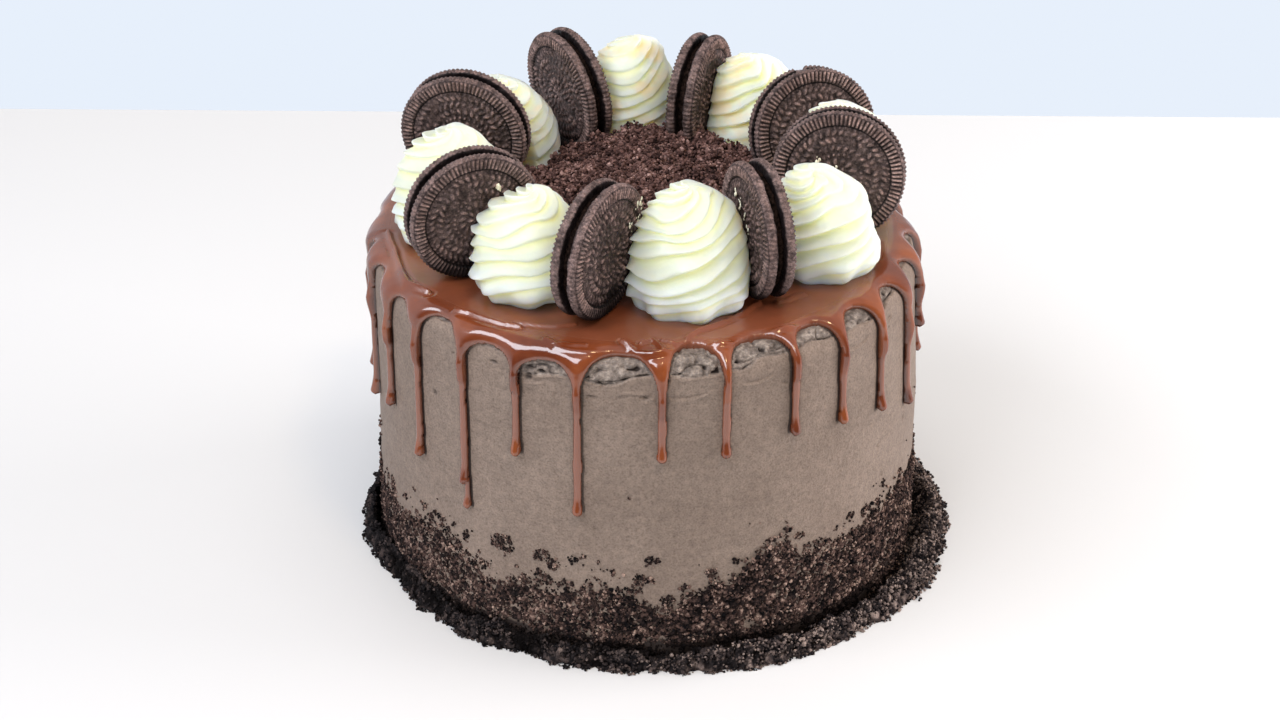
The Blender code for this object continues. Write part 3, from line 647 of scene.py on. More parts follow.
def build_frosting(material):
    """Scraped side with pits and lines, and the torn frosting of the shoulder above it."""
    columns = 1440
    azimuth = DRIPS[0][0] + 0.02 + np.arange(columns) * 360.0 / columns
    arc = shoulder(azimuth) * math.pi / 2
    side = travel_to_height(azimuth, 0.0) - arc - 6.0
    rows = [np.full(columns, travel) for travel in (-30.0, -12.0)]
    rows += [-12.0 * (1 - part) + arc * part for part in np.linspace(0.55, 1.0, 32)]
    rows += [arc + 6.0 * part for part in np.linspace(0.0, 1.0, 18)[1:]]
    rows += [arc + 6.0 + side * part for part in np.linspace(0.0, 1.0, 100)[1:]]
    travel = np.array(rows)
    points = on_cake(azimuth, travel)
    above = around(azimuth, SCRAPE_LINE) + 0.8 * noise(points, 5.0, 3) - travel
    torn = smooth_step(above / 0.5)
    lift = 0.30 * noise(points, 38.0, 1) + 0.10 * noise(points, (9.0, 9.0, 3.0), 2)
    lift += 0.05 * noise(points, (7.0, 7.0, 0.9), 4) + 0.05 * noise(points, 1.5, 5)
    creases = smooth_step((0.16 - np.abs(noise(points, (7.0, 7.0, 2.2), 6))) / 0.16) * 0.8
    craters = smooth_step((noise(points, (2.6, 2.6, 1.5), 8) - 0.5) / 0.25) * 1.5
    wrinkles = 0.5 * noise(points, (2.8, 2.8, 1.3), 7) + 0.4 * np.abs(noise(points, 1.1, 10))
    lift += torn * (wrinkles - 0.2 - creases - craters)
    lift += 0.5 * bell(above + 0.3, 0.6) * (0.7 + 0.6 * noise(points, 5.0, 9)) - 0.5 * bell(above - 0.5, 0.45)
    for middle_azimuth, middle_travel, radius, start_angle, end_angle in SCRAPE_ARCS:
        off = turned(azimuth, middle_azimuth) * MM_PER_DEGREE
        below = travel - middle_travel
        far = np.hypot(off, below) - radius
        angle = np.degrees(np.arctan2(below, off))
        within = smooth_step((angle - start_angle) / 12.0) * smooth_step((end_angle - angle) / 12.0)
        lift += within * (0.4 * bell(far, 0.45) - 0.35 * bell(far + 0.9, 0.5))
    lift *= smooth_step((travel + 30.0) / 15.0)
    depth, _, _ = glaze_depth(azimuth, travel)
    beside = smooth_step((-0.1 - depth) / 0.8)
    lift *= np.where(lift > 0, beside, 0.35 + 0.65 * beside)
    for pit_azimuth, pit_travel, wide, high, deep in frosting_pits():
        off = turned(azimuth, pit_azimuth) * MM_PER_DEGREE / wide
        lift -= deep * bell(off ** 2 + ((travel - pit_travel) / high) ** 2, 1.0)
    down = np.abs(np.gradient(depth, axis=0)) / np.gradient(travel, axis=0)
    sideways = np.gradient(depth, 360.0 / columns * MM_PER_DEGREE, axis=1)
    # Painted shade on the frosting beside the glaze's edge, deeper by the side of each stem turned to the
    # front.
    contact_shade = 0.12 + side_contact(azimuth, sideways, np.maximum(np.hypot(down, sideways), 0.01))
    contact_shade *= smooth_step((depth + 0.4) / 0.3)
    points = on_cake(azimuth, travel, lift)
    # Painted shade low down, in the gap between the crumbs and the heap.
    by_gap = 0.9 * smooth_step((GAP_TOP + 1.5 - points[..., 2]) / 3.0)
    # Painted shade in dents, beside the glaze and by the heap, stored for the material.
    hollow_shade = np.maximum(np.maximum(np.clip(-lift / 1.5, 0, 1), contact_shade), by_gap)
    points[-1, :, 2] = 0.0
    faces = flipped(capped_faces(len(rows), columns))
    mesh_piece("frosting", points, faces, material, ["cake_body"],
               shade={"torn": torn, "hollow_shade": hollow_shade})


def frosting_pits():
    """Pits in the frosting: those that show at the front, then a scatter of small ones."""
    chance = np.random.default_rng(21)
    pits = list(FRONT_PITS)
    for _ in range(110):
        size = chance.uniform(0.35, 0.9)
        pits.append((chance.uniform(0, 360), 12 + 75 * chance.random() ** 1.6, size * chance.uniform(1, 1.8),
                     size, chance.uniform(0.25, 0.7)))
    return pits


def drip_outline(first, second):
    """Edge of the glaze from the tip of one drip over the arch to the tip of the next.

    Points are (millimetres round the side from azimuth 0, travel).
    """
    left = first[0] * MM_PER_DEGREE + STEM_HALF_WIDTH
    right = second[0] * MM_PER_DEGREE - STEM_HALF_WIDTH
    part = np.sin(np.linspace(-1.0, 1.0, 160) * math.pi / 2)
    across = (left + right) / 2 + (right - left) / 2 * part
    points = [np.stack([across, arch_travel(first[0], second[0], part)])]
    for (azimuth, tip), side in ((first, 1.0), (second, -1.0)):
        lowest = tip_travel(azimuth, tip)
        travel = np.arange(float(around(azimuth, FUNNEL_ENDS)), lowest - BULB_RADIUS, 0.25)
        angle = np.linspace(0.0, math.pi / 2, 14)
        width = np.concatenate([stem_width(travel, lowest, azimuth), BULB_RADIUS * np.cos(angle)])
        travel = np.concatenate([travel, lowest - BULB_RADIUS + BULB_RADIUS * np.sin(angle)])
        points.append(np.stack([azimuth * MM_PER_DEGREE + side * width, travel]))
    return np.concatenate(points, axis=1).T


def tip_travel(azimuth, tip):
    """Travel at a drip's tip of a given height."""
    return float(travel_to_height(float(azimuth), tip))


def stem_width(travel, lowest, azimuth):
    """Half width of a drip at travels, widening into the bulb at its tip."""
    uneven = 1.0 + 0.10 * np.sin(travel * 0.21 + azimuth) + 0.05 * np.sin(travel * 0.53 + 2 * azimuth)
    bulb = smooth_step((travel - (lowest - BULB_RADIUS - BULB_BLEND)) / BULB_BLEND)
    return STEM_HALF_WIDTH * uneven * (1 - bulb) + BULB_RADIUS * bulb


def arch_travel(start, end, part):
    """Travel of the arch between drips at two azimuths, across it from -1 to 1."""
    top = float(around((start + end) / 2, ARCH_TOPS))
    left, right = around([start, end], FUNNEL_ENDS)
    depth = left + (right - left) * (part + 1) / 2 - top
    return top + depth * (1 - np.sqrt(np.maximum(0.0, 1 - np.abs(part) ** 2.2)))


def glaze_depth(azimuth, travel):
    """Distance inside the glaze's edge, negative outside, the width of its bead, and its height on a drip."""
    depth = np.full(travel.shape, -9.0)
    bead = np.full(travel.shape, BEAD_WIDTH)
    swell = np.zeros(travel.shape)
    for first, second in zip(DRIPS, [*DRIPS[1:], (DRIPS[0][0] + 360, DRIPS[0][1])]):
        columns = np.flatnonzero((azimuth >= first[0]) & (azimuth < second[0]))
        here = azimuth[columns] * MM_PER_DEGREE
        down = travel[:, columns]
        nearest = np.full(down.shape, 1e9)
        for x, y in drip_outline(first, second):
            nearest = np.minimum(nearest, (here - x) ** 2 + (down - y) ** 2)
        nearest = np.sqrt(nearest)
        left, right = first[0] * MM_PER_DEGREE, second[0] * MM_PER_DEGREE
        half = (right - left) / 2
        part = (here - (left + right) / 2) / (half - STEM_HALF_WIDTH)
        inside = down < arch_travel(first[0], second[0], np.clip(part, -1, 1))
        width = STEM_HALF_WIDTH
        for (drip, tip), away in ((first, here - left), (second, right - here)):
            lowest = tip_travel(drip, tip)
            span = stem_width(down, lowest, drip)
            inside |= (away < span) & (down < lowest - BULB_RADIUS)
            inside |= away ** 2 + (down - lowest + BULB_RADIUS) ** 2 < BULB_RADIUS ** 2
            width = np.where(away < half, span, width)
            swell[:, columns] = np.where(away < half, drip_height(down, lowest, drip), swell[:, columns])
        ends = around(azimuth[columns], FUNNEL_ENDS)
        spread = smooth_step((ends - down) / (ends - around(azimuth[columns], ARCH_TOPS)))
        bead[:, columns] = width + (BEAD_WIDTH - width) * spread
        depth[:, columns] = np.where(inside, nearest, -nearest)
    second_azimuth, leaves, ends = SECOND_TIP
    end = tip_travel(second_azimuth, ends) - STEM_HALF_WIDTH
    across = (azimuth - second_azimuth) * MM_PER_DEGREE
    along = np.clip(travel, tip_travel(second_azimuth, leaves), end)
    lobe = 1.35 + 0.5 * smooth_step((travel - end + 5) / 5) - np.hypot(across, travel - along)
    bead = np.where(lobe > depth, 1.7, bead)
    swell = np.where(lobe > depth, 1.5 + 0.9 * smooth_step((travel - end + 3.5) / 3.5), swell)
    return np.maximum(depth, lobe), bead, swell


def drip_height(travel, lowest, azimuth):
    """Height of a drip along its middle: its funnel and its bulb each swell downwards to a nose."""
    ends = float(around(azimuth, FUNNEL_ENDS))
    funnel = nose(travel, ends - 10.0, ends + 1.0, 9.5) * (FUNNEL_LIFT - STEM_LIFT)
    chance = np.random.default_rng(int(azimuth * 10) % 997)
    second = ends + chance.uniform(4.5, 8.0)
    bead = nose(travel, second - 4.0, second, 2.5) * chance.choice((0.0, 0.35, 0.55))
    bulb = nose(travel, lowest - 9.5, lowest - 2.2, 9.0) * (BULB_LIFT - STEM_LIFT)
    upper = (GLAZE_LIFT - STEM_LIFT) * smooth_step((ends - travel) / 12.0)
    return STEM_LIFT + np.maximum(funnel, upper) + bead + bulb


def nose(travel, start, peak, fade):
    """Swelling from 0 at the start to 1 at the peak, gone again a fade beyond it."""
    rising = np.clip((travel - start) / (peak - start), 0.0, 1.0) ** 1.6
    return rising * (1 - smooth_step((travel - peak) / fade))


def pour_lines(azimuth, travel):
    """Height of the thin ridges in the glaze."""
    height = np.zeros(travel.shape)
    place = np.stack(np.broadcast_arrays(azimuth * MM_PER_DEGREE, travel), axis=-1)
    for corners, tall, wide in POUR_LINES:
        corners = np.array(corners, dtype=float)
        corners[:, 0] -= 360.0 * (corners[0, 0] > azimuth.max())
        corners *= (MM_PER_DEGREE, 1.0)
        nearest = np.full(travel.shape, 99.0)
        for start, end in zip(corners, corners[1:]):
            run = end - start
            part = np.clip(((place - start) @ run) / (run @ run), 0, 1)
            nearest = np.minimum(nearest, np.linalg.norm(place - start - part[..., None] * run, axis=-1))
        ridge = tall * (bell(nearest, wide) - 0.35 * bell(nearest - 1.8 * wide, 0.8 * wide))
        height = np.where(np.abs(ridge) > np.abs(height), ridge, height)
    return height


def glaze_waves(azimuth, travel):
    """Slow waves of the poured glaze."""
    flat = on_cake(azimuth, travel)
    return 0.42 * noise(flat, (19.0, 19.0, 40.0), 11) + 0.09 * noise(flat, (8.0, 8.0, 16.0), 12)


def build_glaze(material):
    """Poured glaze: pooled cap, beaded edge and drips, as one sheet whose rim is sunk in the frosting."""
    columns = 1440
    azimuth = DRIPS[0][0] + 0.01 + np.arange(columns) * 360.0 / columns
    fine_start = -11.0
    travels = np.concatenate([np.arange(fine_start, 20.0, 0.5), np.arange(20.0, 76.0, 0.6)])
    travel = np.repeat(travels[:, None], columns, axis=1)
    depth, bead, swell = glaze_depth(azimuth, travel)
    down = np.gradient(depth, travels, axis=0)
    sideways = np.gradient(depth, 360.0 / columns * MM_PER_DEGREE, axis=1)
    steepness = np.maximum(np.hypot(down, sideways), 0.3)
    moved = np.where(np.abs(depth) < SNAP_WIDTH, -depth, 0.0)
    depth = depth + moved
    rise = np.clip(depth / bead, 0, 1)
    round_edge = np.sqrt(np.maximum(0.0, 1 - (1 - rise) ** 2))
    on_drip = smooth_step((travel - 1.0) / 6.0)
    high = GLAZE_LIFT + (swell - GLAZE_LIFT) * on_drip
    broad = smooth_step((bead - 1.8) / 2.0)
    waves = glaze_waves(azimuth, travel) * (0.35 + 0.65 * broad) * broad
    lift = high * round_edge + rise * (waves + pour_lines(azimuth, travel))
    lift = np.where(depth < 0, np.maximum(-SUNK_DEPTH, 2.2 * depth), lift)
    moved = (moved + UNDERCUT * (1 - smooth_step((lift + 0.3) / 1.3)) * (depth < 1.2)) / steepness
    points = on_cake(azimuth + sideways * moved / MM_PER_DEGREE, travel + down * moved, lift)

    inner_azimuth = azimuth[::2]
    inner_columns = len(inner_azimuth)
    inner_travels = np.linspace(GLAZE_INNER_TRAVEL, fine_start - 1.2, 30)
    inner_travel = np.repeat(inner_travels[:, None], inner_columns, axis=1)
    inner_lift = GLAZE_LIFT + glaze_waves(inner_azimuth, inner_travel)
    inner_lift += pour_lines(inner_azimuth, inner_travel)
    inner = on_cake(inner_azimuth, inner_travel, inner_lift)
    everything = np.concatenate([points.reshape(-1, 3), inner.reshape(-1, 3)])

    quads = grid_faces(len(travels), columns)
    quads = quads[(depth > -1.5).ravel()[quads].any(axis=1)]
    last = travel.size + inner.shape[0] * inner_columns - inner_columns
    step = np.arange(inner_columns)
    after = (step + 1) % inner_columns
    seam = np.stack([last + step, last + after, (2 * step + 2) % columns, 2 * step + 1, 2 * step], axis=-1)
    groups = (quads, grid_faces(len(inner), inner_columns) + travel.size, seam)
    used = np.zeros(len(everything), dtype=bool)
    for group in groups:
        used[group.ravel()] = True
    faces = flipped([(np.cumsum(used) - 1)[group] for group in groups])

    dull = smooth_step((2.5 - travel) / 6.0)
    above_stems = smooth_step((around(azimuth, FUNNEL_ENDS) - travel + 1.0) / 3.0)
    thin_and_sheen = smooth_step((2.5 - high) / 0.4) * on_drip
    thin_and_sheen = np.maximum(thin_and_sheen, 0.8 * above_stems * (1 - smooth_step((depth - 0.5) / 0.9)))
    # Painted sheen: the flat top is paler, for the reflection of the bright wall behind it.
    thin_and_sheen = np.maximum(thin_and_sheen, 0.55 * dull)
    # Painted sheen on the cap, paler towards its rim.
    cap_sheen = 0.30 + 0.25 * smooth_step((inner_travel + 24.0) / 12.0)
    # Painted shade on the low wall of the glaze's edge, deeper on the side of each stem turned to the front.
    contact_shade = (1 - smooth_step((lift - 0.45) / 0.9)) * (depth < 1.2)
    contact_shade *= 0.25 + side_contact(azimuth, sideways, steepness)
    shade = {"thin_and_sheen": (thin_and_sheen, cap_sheen), "dull": (dull, np.ones(inner_travel.size)),
             "contact_shade": (contact_shade, np.zeros(inner_travel.size))}
    shade = {name: np.concatenate([outer.ravel(), cap.ravel()]) for name, (outer, cap) in shade.items()}
    # Painted shade round the feet of the cookies and swirls.
    shade["contact_shade"] = np.maximum(shade["contact_shade"], 0.27 * foot_shade(everything))
    shade = {name: values[used] for name, values in shade.items()}
    mesh_piece("glaze_pour", everything[used], faces, material, ["glaze"], shade=shade)


def side_contact(azimuth, sideways, steepness):
    """Shade where a stem stands on the frosting, deeper on its side that is turned to the front."""
    upright = smooth_step(np.abs(sideways) / steepness * 1.6 - 0.6)
    fronting = sideways * np.where(azimuth < FACING_AZIMUTH, -1.0, 1.0) > 0
    return np.where(fronting, 0.45 + 0.4 * np.abs(np.sin(np.radians(azimuth))), 0.12) * upright


def foot_shade(points):
    """How much the cookies and swirls that stand on the glaze shade points of it, from 0 to 1."""
    shade = np.zeros(len(points))
    for number in range(len(COOKIES)):
        centre, axis, level, _ = cookie_axes(number + 1)
        away = (points - centre) * (1, 1, 0)
        beside = np.abs(away @ axis) - WAFER_THICKNESS - FILLING_SPACE / 2
        along = np.abs(away @ level) - 6
        shade = np.maximum(shade, (1 - smooth_step(beside / 4.5)) * (1 - smooth_step(along / 7)))
    for ring, azimuth, deep, wide, *_ in SWIRLS:
        radial, across = directions(azimuth)
        away = points - radial * ring
        far = np.hypot(away @ radial / deep, away @ across / wide) * wide
        shade = np.maximum(shade, 1 - smooth_step((far - 0.9 * wide) / 4.0))
    return shade


def cookie_axes(number):
    """Centre of a cookie, its axis, and the level and upward directions in its plane."""
    ring, azimuth, turn, lean = COOKIES[number - 1]
    turn, lean = math.radians(turn), math.radians(lean)
    radial, across = directions(azimuth)
    axis = (across * math.cos(turn) + radial * math.sin(turn)) * math.cos(lean)
    axis = axis + np.array([0, 0, math.sin(lean)])
    centre = radial * ring + np.array([0, 0, STANDING_HEIGHT + COOKIE_RADIUS * math.cos(lean)])
    level = np.cross([0.0, 0.0, 1.0], axis)
    level /= np.linalg.norm(level)
    return centre, axis, level, np.cross(axis, level)


def from_cookie(points, number):
    """A cookie's centre and axis, and how far points are from its middle plane and from its axis."""
    centre, axis, _, _ = cookie_axes(number)
    away = points - centre
    depth = away @ axis
    return centre, axis, depth, np.linalg.norm(away - depth[..., None] * axis, axis=-1)


def leaf_ring(radius, angle, middle, length, width, count, tilt):
    """Relief from 0 to 1 of a ring of leaves that lean off the radius."""
    pitch = 2 * math.pi / count
    across = ((angle + 0.5 * pitch) % pitch - 0.5 * pitch) * middle
    along = radius - middle
    lengthwise = along * math.cos(tilt) + across * math.sin(tilt)
    side = across * math.cos(tilt) - along * math.sin(tilt)
    return smooth_step((1 - (lengthwise / length) ** 2 - np.abs(side / width) ** 1.5) * 1.8)


def wafer_relief(radius, angle):
    """Height of a wafer's pressed pattern: ridged rim, bead rings, leaf rings and a centre rosette."""
    ridge = np.clip(0.5 + 0.75 * np.cos(RIM_RIDGES * angle), 0, 1)
    window = smooth_step((radius - RIDGE_INNER) / 0.5) * smooth_step((RIDGE_OUTER - radius) / 0.5)
    inner = np.zeros(radius.shape)
    for start, *ring in LEAF_RINGS:
        inner = np.maximum(inner, leaf_ring(radius, angle + start, *ring))
    height = RIDGE_HEIGHT * ridge * window + RELIEF_HEIGHT * inner * (radius < 17.3)
    return height - 0.25 * bell(radius - 17.35, 0.25) + 0.5 * bell((radius / 1.2) ** 2, 1.0)


def chipped_radius(angle):
    """Radius of the wafer with the broken edge, at angles round it."""
    off = np.abs(turned(np.degrees(angle), CHIP_CENTRE)) / CHIP_HALF_ANGLE
    return COOKIE_RADIUS - CHIP_DEPTH * smooth_step((1.25 - off) / 0.5) + 0.12 * np.sin(40 * angle)


def build_wafer(number, label, material):
    """One embossed wafer of a cookie; its outer face points away from the filling."""
    side = -1.0 if label == "right" else 1.0
    centre, axis, level, up = cookie_axes(number)
    spin = np.random.default_rng(100 + 2 * number + (label == "left")).uniform(0, 2 * math.pi)
    columns = 4 * RIM_RIDGES
    inner_columns = columns // 2
    inner_face = FILLING_SPACE / 2
    outer_face = inner_face + WAFER_THICKNESS - RIDGE_HEIGHT
    edge = COOKIE_RADIUS - 0.25
    rim = [(radius, inner_face) for radius in (18.5, 19.4, 20.0, 20.6, 21.2)]
    rim += [(21.7, inner_face + 0.1), (edge, inner_face + 0.5), (COOKIE_RADIUS, inner_face + 1.4),
            (COOKIE_RADIUS, outer_face - 1.2), (edge, outer_face - 0.45), (22.0, outer_face - 0.08)]
    rim += [(radius, outer_face) for radius in (21.5, 21.1, 20.4, 19.6, 18.8, 18.1, 17.75, 17.45)]
    rim += [(radius, outer_face) for radius in np.arange(17.1, CENTRE_RADIUS, -0.4)]
    inner = [(radius, outer_face) for radius in np.arange(CENTRE_RADIUS - 0.1, 0.4, -0.4)]

    def ring_points(rings, count):
        angle = np.arange(count) * 2 * math.pi / count
        radius, offset = np.array(rings).T[..., None] + np.zeros(count)
        outer = offset > outer_face - 0.01
        way = level * np.cos(angle)[:, None] + up * np.sin(angle)[:, None]
        wear = 0.8 + 0.75 * noise(centre + way * radius[..., None], 2.8, 180 + number)
        relief = wafer_relief(radius, angle + spin)
        relief = relief * np.where(radius < RIDGE_INNER - 0.3, np.clip(wear, 0.15, 1.2), 1.0)
        offset = offset + np.where(outer, relief, 0.0)
        serration = 0.27 * (np.cos(RIM_RIDGES * (angle + spin)) - 1)
        radius = radius + np.where(radius > edge - 0.3, serration, 0.0)
        if number == CHIPPED_COOKIE and label == "left":
            radius = np.minimum(radius, chipped_radius(angle))
        points = centre + axis * (side * offset[..., None]) + way * radius[..., None]
        rough = 0.10 * noise(points, 3.0, number) + 0.07 * noise(points, 1.1, 20 + number)
        broken = 0.35 * noise(points, 1.6, 160 + number) - 0.1
        from_filling = offset > inner_face + 0.3
        points = points + axis * (side * np.where(from_filling, rough, broken))[..., None]
        points[..., 2] = np.maximum(points[..., 2], STANDING_HEIGHT - 1.0)
        # Painted light: raised parts of the pattern lighter, recesses shaded, partly also wear; inner faces
        # by the filling get painted shade.
        raised = (offset - outer_face) / RIDGE_HEIGHT
        raised = np.where(radius < 17.2, 0.12 + 0.72 * raised, raised)
        raised = np.where(outer, raised, np.where(from_filling, 0.55, -0.2))
        # Painted shade near the wafer's foot on the glaze.
        raised -= 1.1 * (1 - smooth_step((points[..., 2] - STANDING_HEIGHT - 1.0) / 11.0))
        return points.reshape(-1, 3), raised.ravel()

    points, raised = map(np.concatenate, zip(ring_points(rim, columns), ring_points(inner, inner_columns)))
    start = len(rim) * columns
    last = start - columns
    end = len(points) - inner_columns
    step = np.arange(inner_columns)
    seam = np.stack([start + step, last + 2 * step, last + 2 * step + 1, last + (2 * step + 2) % columns,
                     start + (step + 1) % inner_columns], axis=-1)
    faces = [grid_faces(len(rim), columns), grid_faces(len(inner), inner_columns) + start, seam,
             np.arange(columns)[None, ::-1], np.arange(end, len(points))[None]]
    if side < 0:
        faces = flipped(faces)
    mesh_piece(f"wafer_{number}_{label}", points, faces, material, [f"cookie_{number}_{label}"],
               shade={"raised": raised})


def build_filling(number, material):
    """Dark cream disc with an uneven edge."""
    centre, axis, level, up = cookie_axes(number)
    columns = 120
    angle = np.arange(columns) * 2 * math.pi / columns
    way = level * np.cos(angle)[:, None] + up * np.sin(angle)[:, None]
    rows = []
    for part, more in FILLING_EDGE:
        points = centre + axis * part * FILLING_SPACE / 2 + way * (FILLING_RADIUS + more)
        uneven = 0.35 * noise(points, 4.0, 40 + number) + 0.2 * noise(points, 1.3, 60 + number)
        points = points + way * uneven[:, None]
        points[:, 2] = np.maximum(points[:, 2], STANDING_HEIGHT - 1.0)
        rows.append(points)
    mesh_piece(f"filling_{number}", rows, capped_faces(len(rows), columns), material,
               [f"cookie_{number}_filling"])


def press_by_cookies(points, middle, clearance):
    """Keep cream on its middle's side of each cookie; also how near it is to one, from 0 to 1."""
    half = WAFER_THICKNESS + FILLING_SPACE / 2 + clearance
    near = np.zeros(points.shape[:-1])
    for number in range(len(COOKIES)):
        centre, axis, depth, beside = from_cookie(points, number + 1)
        side = 1.0 if (middle - centre) @ axis >= 0 else -1.0
        flat = axis * (side, side, 0.0)
        flat /= np.linalg.norm(flat)
        missing = half - side * depth
        close = beside < COOKIE_RADIUS + PRESSED_MARGIN
        points = points + (np.maximum(missing, 0.0) * close / (flat @ axis * side))[..., None] * flat
        near = np.maximum(near, smooth_step((missing + STAIN_REACH) / STAIN_REACH) * close)
    return points, near


def build_swirl(number, material):
    """Star-piped swirl: ridges that wind up a dome to its tip, squeezed by the cookies beside it.

    A row of points follows one line of a ridge, so after a turn it joins the row of the ridge
    that is RIDGE_STARTS higher.
    """
    (ring, azimuth, deep, wide, tall, drawn_in, pitch, ridge_depth, bulge, climb_side,
     lean_out, lean_right) = SWIRLS[number - 1]
    radial, across = directions(azimuth)
    foot = radial * ring + np.array([0.0, 0.0, STANDING_HEIGHT])

    part = np.sin(np.linspace(0.0, math.pi / 2, 240))
    outline_reach = 1.0 - drawn_in * (1.0 - np.minimum(part / 0.25, 1.0)) ** 2
    outline_reach = outline_reach * np.maximum(1.0 - part ** 3.3, 0.0) ** 0.56 * (deep + wide) / 2
    run_out, run_up = np.gradient(outline_reach), np.gradient(part * tall)
    run = np.hypot(run_out, run_up)
    travel = np.cumsum(run) - run[0]
    ridge_count = np.cumsum(run / (pitch * (1 + 0.12 * np.sin(travel * 0.33 + 2.3 * number))))
    ridge_count -= ridge_count[0]
    top = ridge_count[-1]

    columns = 168
    angle = np.arange(columns) * 2 * math.pi / columns
    sway = RIDGE_SWAY * np.sin(angle - math.radians(climb_side)) + 0.10 * np.sin(3 * angle + number)
    winding = RIDGE_STARTS * (angle + sway) / (2 * math.pi)
    places, heights = np.array(RIDGE_SECTION[:-1]).T
    ridges = np.arange(-RIDGE_STARTS - 2, math.ceil(top) + 2)
    phase = (ridges[:, None] + places).reshape(-1, 1)
    ridge = np.tile(heights, len(ridges))[:, None] + np.zeros(columns)

    def turn_place(reach, height):
        return np.stack(np.broadcast_arrays(reach * np.cos(angle), reach * np.sin(angle), height), axis=-1)

    drift = noise(turn_place(16, (phase + winding) * pitch + 60 * number), (13.0, 13.0, 11.0), 69)
    along = np.clip(phase + winding + 0.42 * drift, 0.0, top)
    reach = np.interp(along, ridge_count, outline_reach)
    height = np.interp(along, ridge_count, part * tall)
    face_out = np.interp(along, ridge_count, run_up / run)
    face_up = np.interp(along, ridge_count, -run_out / run)
    share = height / tall
    # Painted light: how much the cream is tinted cooler and lighter low down on the swirl.
    low = 1 - smooth_step((share - 0.08) / 0.45)
    amount = ridge_depth * (0.62 + 0.4 * smooth_step(share * 1.6)) * (1.15 - 0.5 * np.sin(angle))
    amount *= np.clip(1 + 0.95 * noise(turn_place(14, height * 1.5 + 50 * number), 9.0, 70), 0.3, 1.7)
    amount *= smooth_step((top - along) / 1.3)
    lift = amount * (ridge - 0.55) * ((along > 0) & (along < top))
    lift += bulge * np.cos(2 * math.pi * phase / RIDGE_STARTS)
    lobes = FOOT_LOBE_DEPTH * np.cos(FOOT_LOBES * angle + number) * smooth_step((0.3 - share) / 0.27)
    slide = amount * RIDGE_OVERHANG * ridge
    reach = np.maximum(reach + (lift + lobes) * face_out + slide * face_up, 0.0) * 2 / (deep + wide)
    to_out = reach * deep * np.cos(angle) + lean_out * share ** 2
    to_right = reach * wide * np.sin(angle) + lean_right * share ** 2
    points = foot + radial * to_out[..., None] + across * to_right[..., None]
    points[..., 2] += height + lift * face_up - slide * face_out
    points = points + 0.10 * wobble(points, 2.0, 71)
    points = points + 0.55 * wobble(points, 8.0, 74)
    points[0, :, 2] = STANDING_HEIGHT - 0.6
    points, near = press_by_cookies(points, foot + np.array([0.0, 0.0, 0.5 * tall]), 0.25)
    stained = 0.9 if number in STAINED_SWIRLS else 0.3
    pressed = np.maximum(near * stained, 0.7 if number in SMEARED_SWIRLS else 0.08)
    points[..., 2] = np.maximum(points[..., 2], STANDING_HEIGHT - 0.6)

    row = np.arange(len(phase) - RIDGE_STARTS * len(places) - 1)
    last = row * columns + columns - 1
    joined = (row + RIDGE_STARTS * len(places)) * columns
    turn_joint = np.stack([last, joined, joined + columns, last + columns], axis=-1)
    faces = [grid_faces(len(phase), columns, closed=False), turn_joint, np.arange(columns)[None, ::-1]]
    piece = mesh_piece(f"cream_swirl_{number}", points, faces, material, [f"swirl_{number}"],
                       shade={"ridge": ridge, "pressed": pressed, "low": low})
    merge_doubles(piece.data)


def merge_doubles(mesh):
    """Join points that lie on each other, and drop the faces that this leaves without an area."""
    work = bmesh.new()
    work.from_mesh(mesh)
    bmesh.ops.remove_doubles(work, verts=work.verts, dist=1e-7)
    bmesh.ops.dissolve_degenerate(work, edges=work.edges, dist=1e-7)
    work.to_mesh(mesh)
    work.free()


def build_specks(material):
    """Specks of cream that the swirls left on the wafers."""
    chance = np.random.default_rng(55)
    all_points, all_faces = [], []
    for number, label, radius, angle, spread, count in CREAM_SPECKS:
        side = -1.0 if label == "right" else 1.0
        centre, axis, level, up = cookie_axes(number)
        way = level * math.cos(math.radians(angle)) + up * math.sin(math.radians(angle))
        middle = centre + axis * side * (FILLING_SPACE / 2 + WAFER_THICKNESS) + way * radius
        away = chance.normal(size=(count, 2)) * spread * (0.35, 0.6)
        sizes = 0.24 + 0.5 * chance.random(count) ** 2
        places = middle + level * away[:, :1] + up * away[:, 1:]
        points, faces, _ = crumb_cloud(places, sizes, 56 + len(all_points), ICOSAHEDRON)
        off = points - middle
        taller = off @ up - np.repeat(away[:, 1], len(points) // count)
        all_faces.append(faces + sum(map(len, all_points)))
        all_points.append(points - 0.55 * (off @ axis)[:, None] * axis + 0.5 * taller[:, None] * up)
    mesh_piece("cream_specks", np.concatenate(all_points), all_faces, material)


def regular_solid(corners):
    """Corners of a solid with equal triangles, scaled to radius 1, and its faces."""
    corners = np.array(corners, dtype=float)
    edge = 1.05 * np.linalg.norm(corners[1:] - corners[0], axis=1).min()
    faces = []
    for trio in itertools.combinations(range(len(corners)), 3):
        a, b, c = corners[list(trio)]
        if max(np.linalg.norm(side) for side in (a - b, b - c, c - a)) < edge:
            faces.append(trio if np.cross(b - a, c - a) @ (a + b + c) > 0 else trio[::-1])
    return corners / np.linalg.norm(corners[0]), np.array(faces)


def icosahedron():
    """Corners of an icosahedron."""
    gold = (1 + math.sqrt(5)) / 2
    corners = []
    for first, second in itertools.product((-1, 1), (-gold, gold)):
        corners += [(0, first, second), (first, second, 0), (second, 0, first)]
    return corners


ICOSAHEDRON = regular_solid(icosahedron())
OCTAHEDRON = regular_solid([*np.eye(3), *-np.eye(3)])


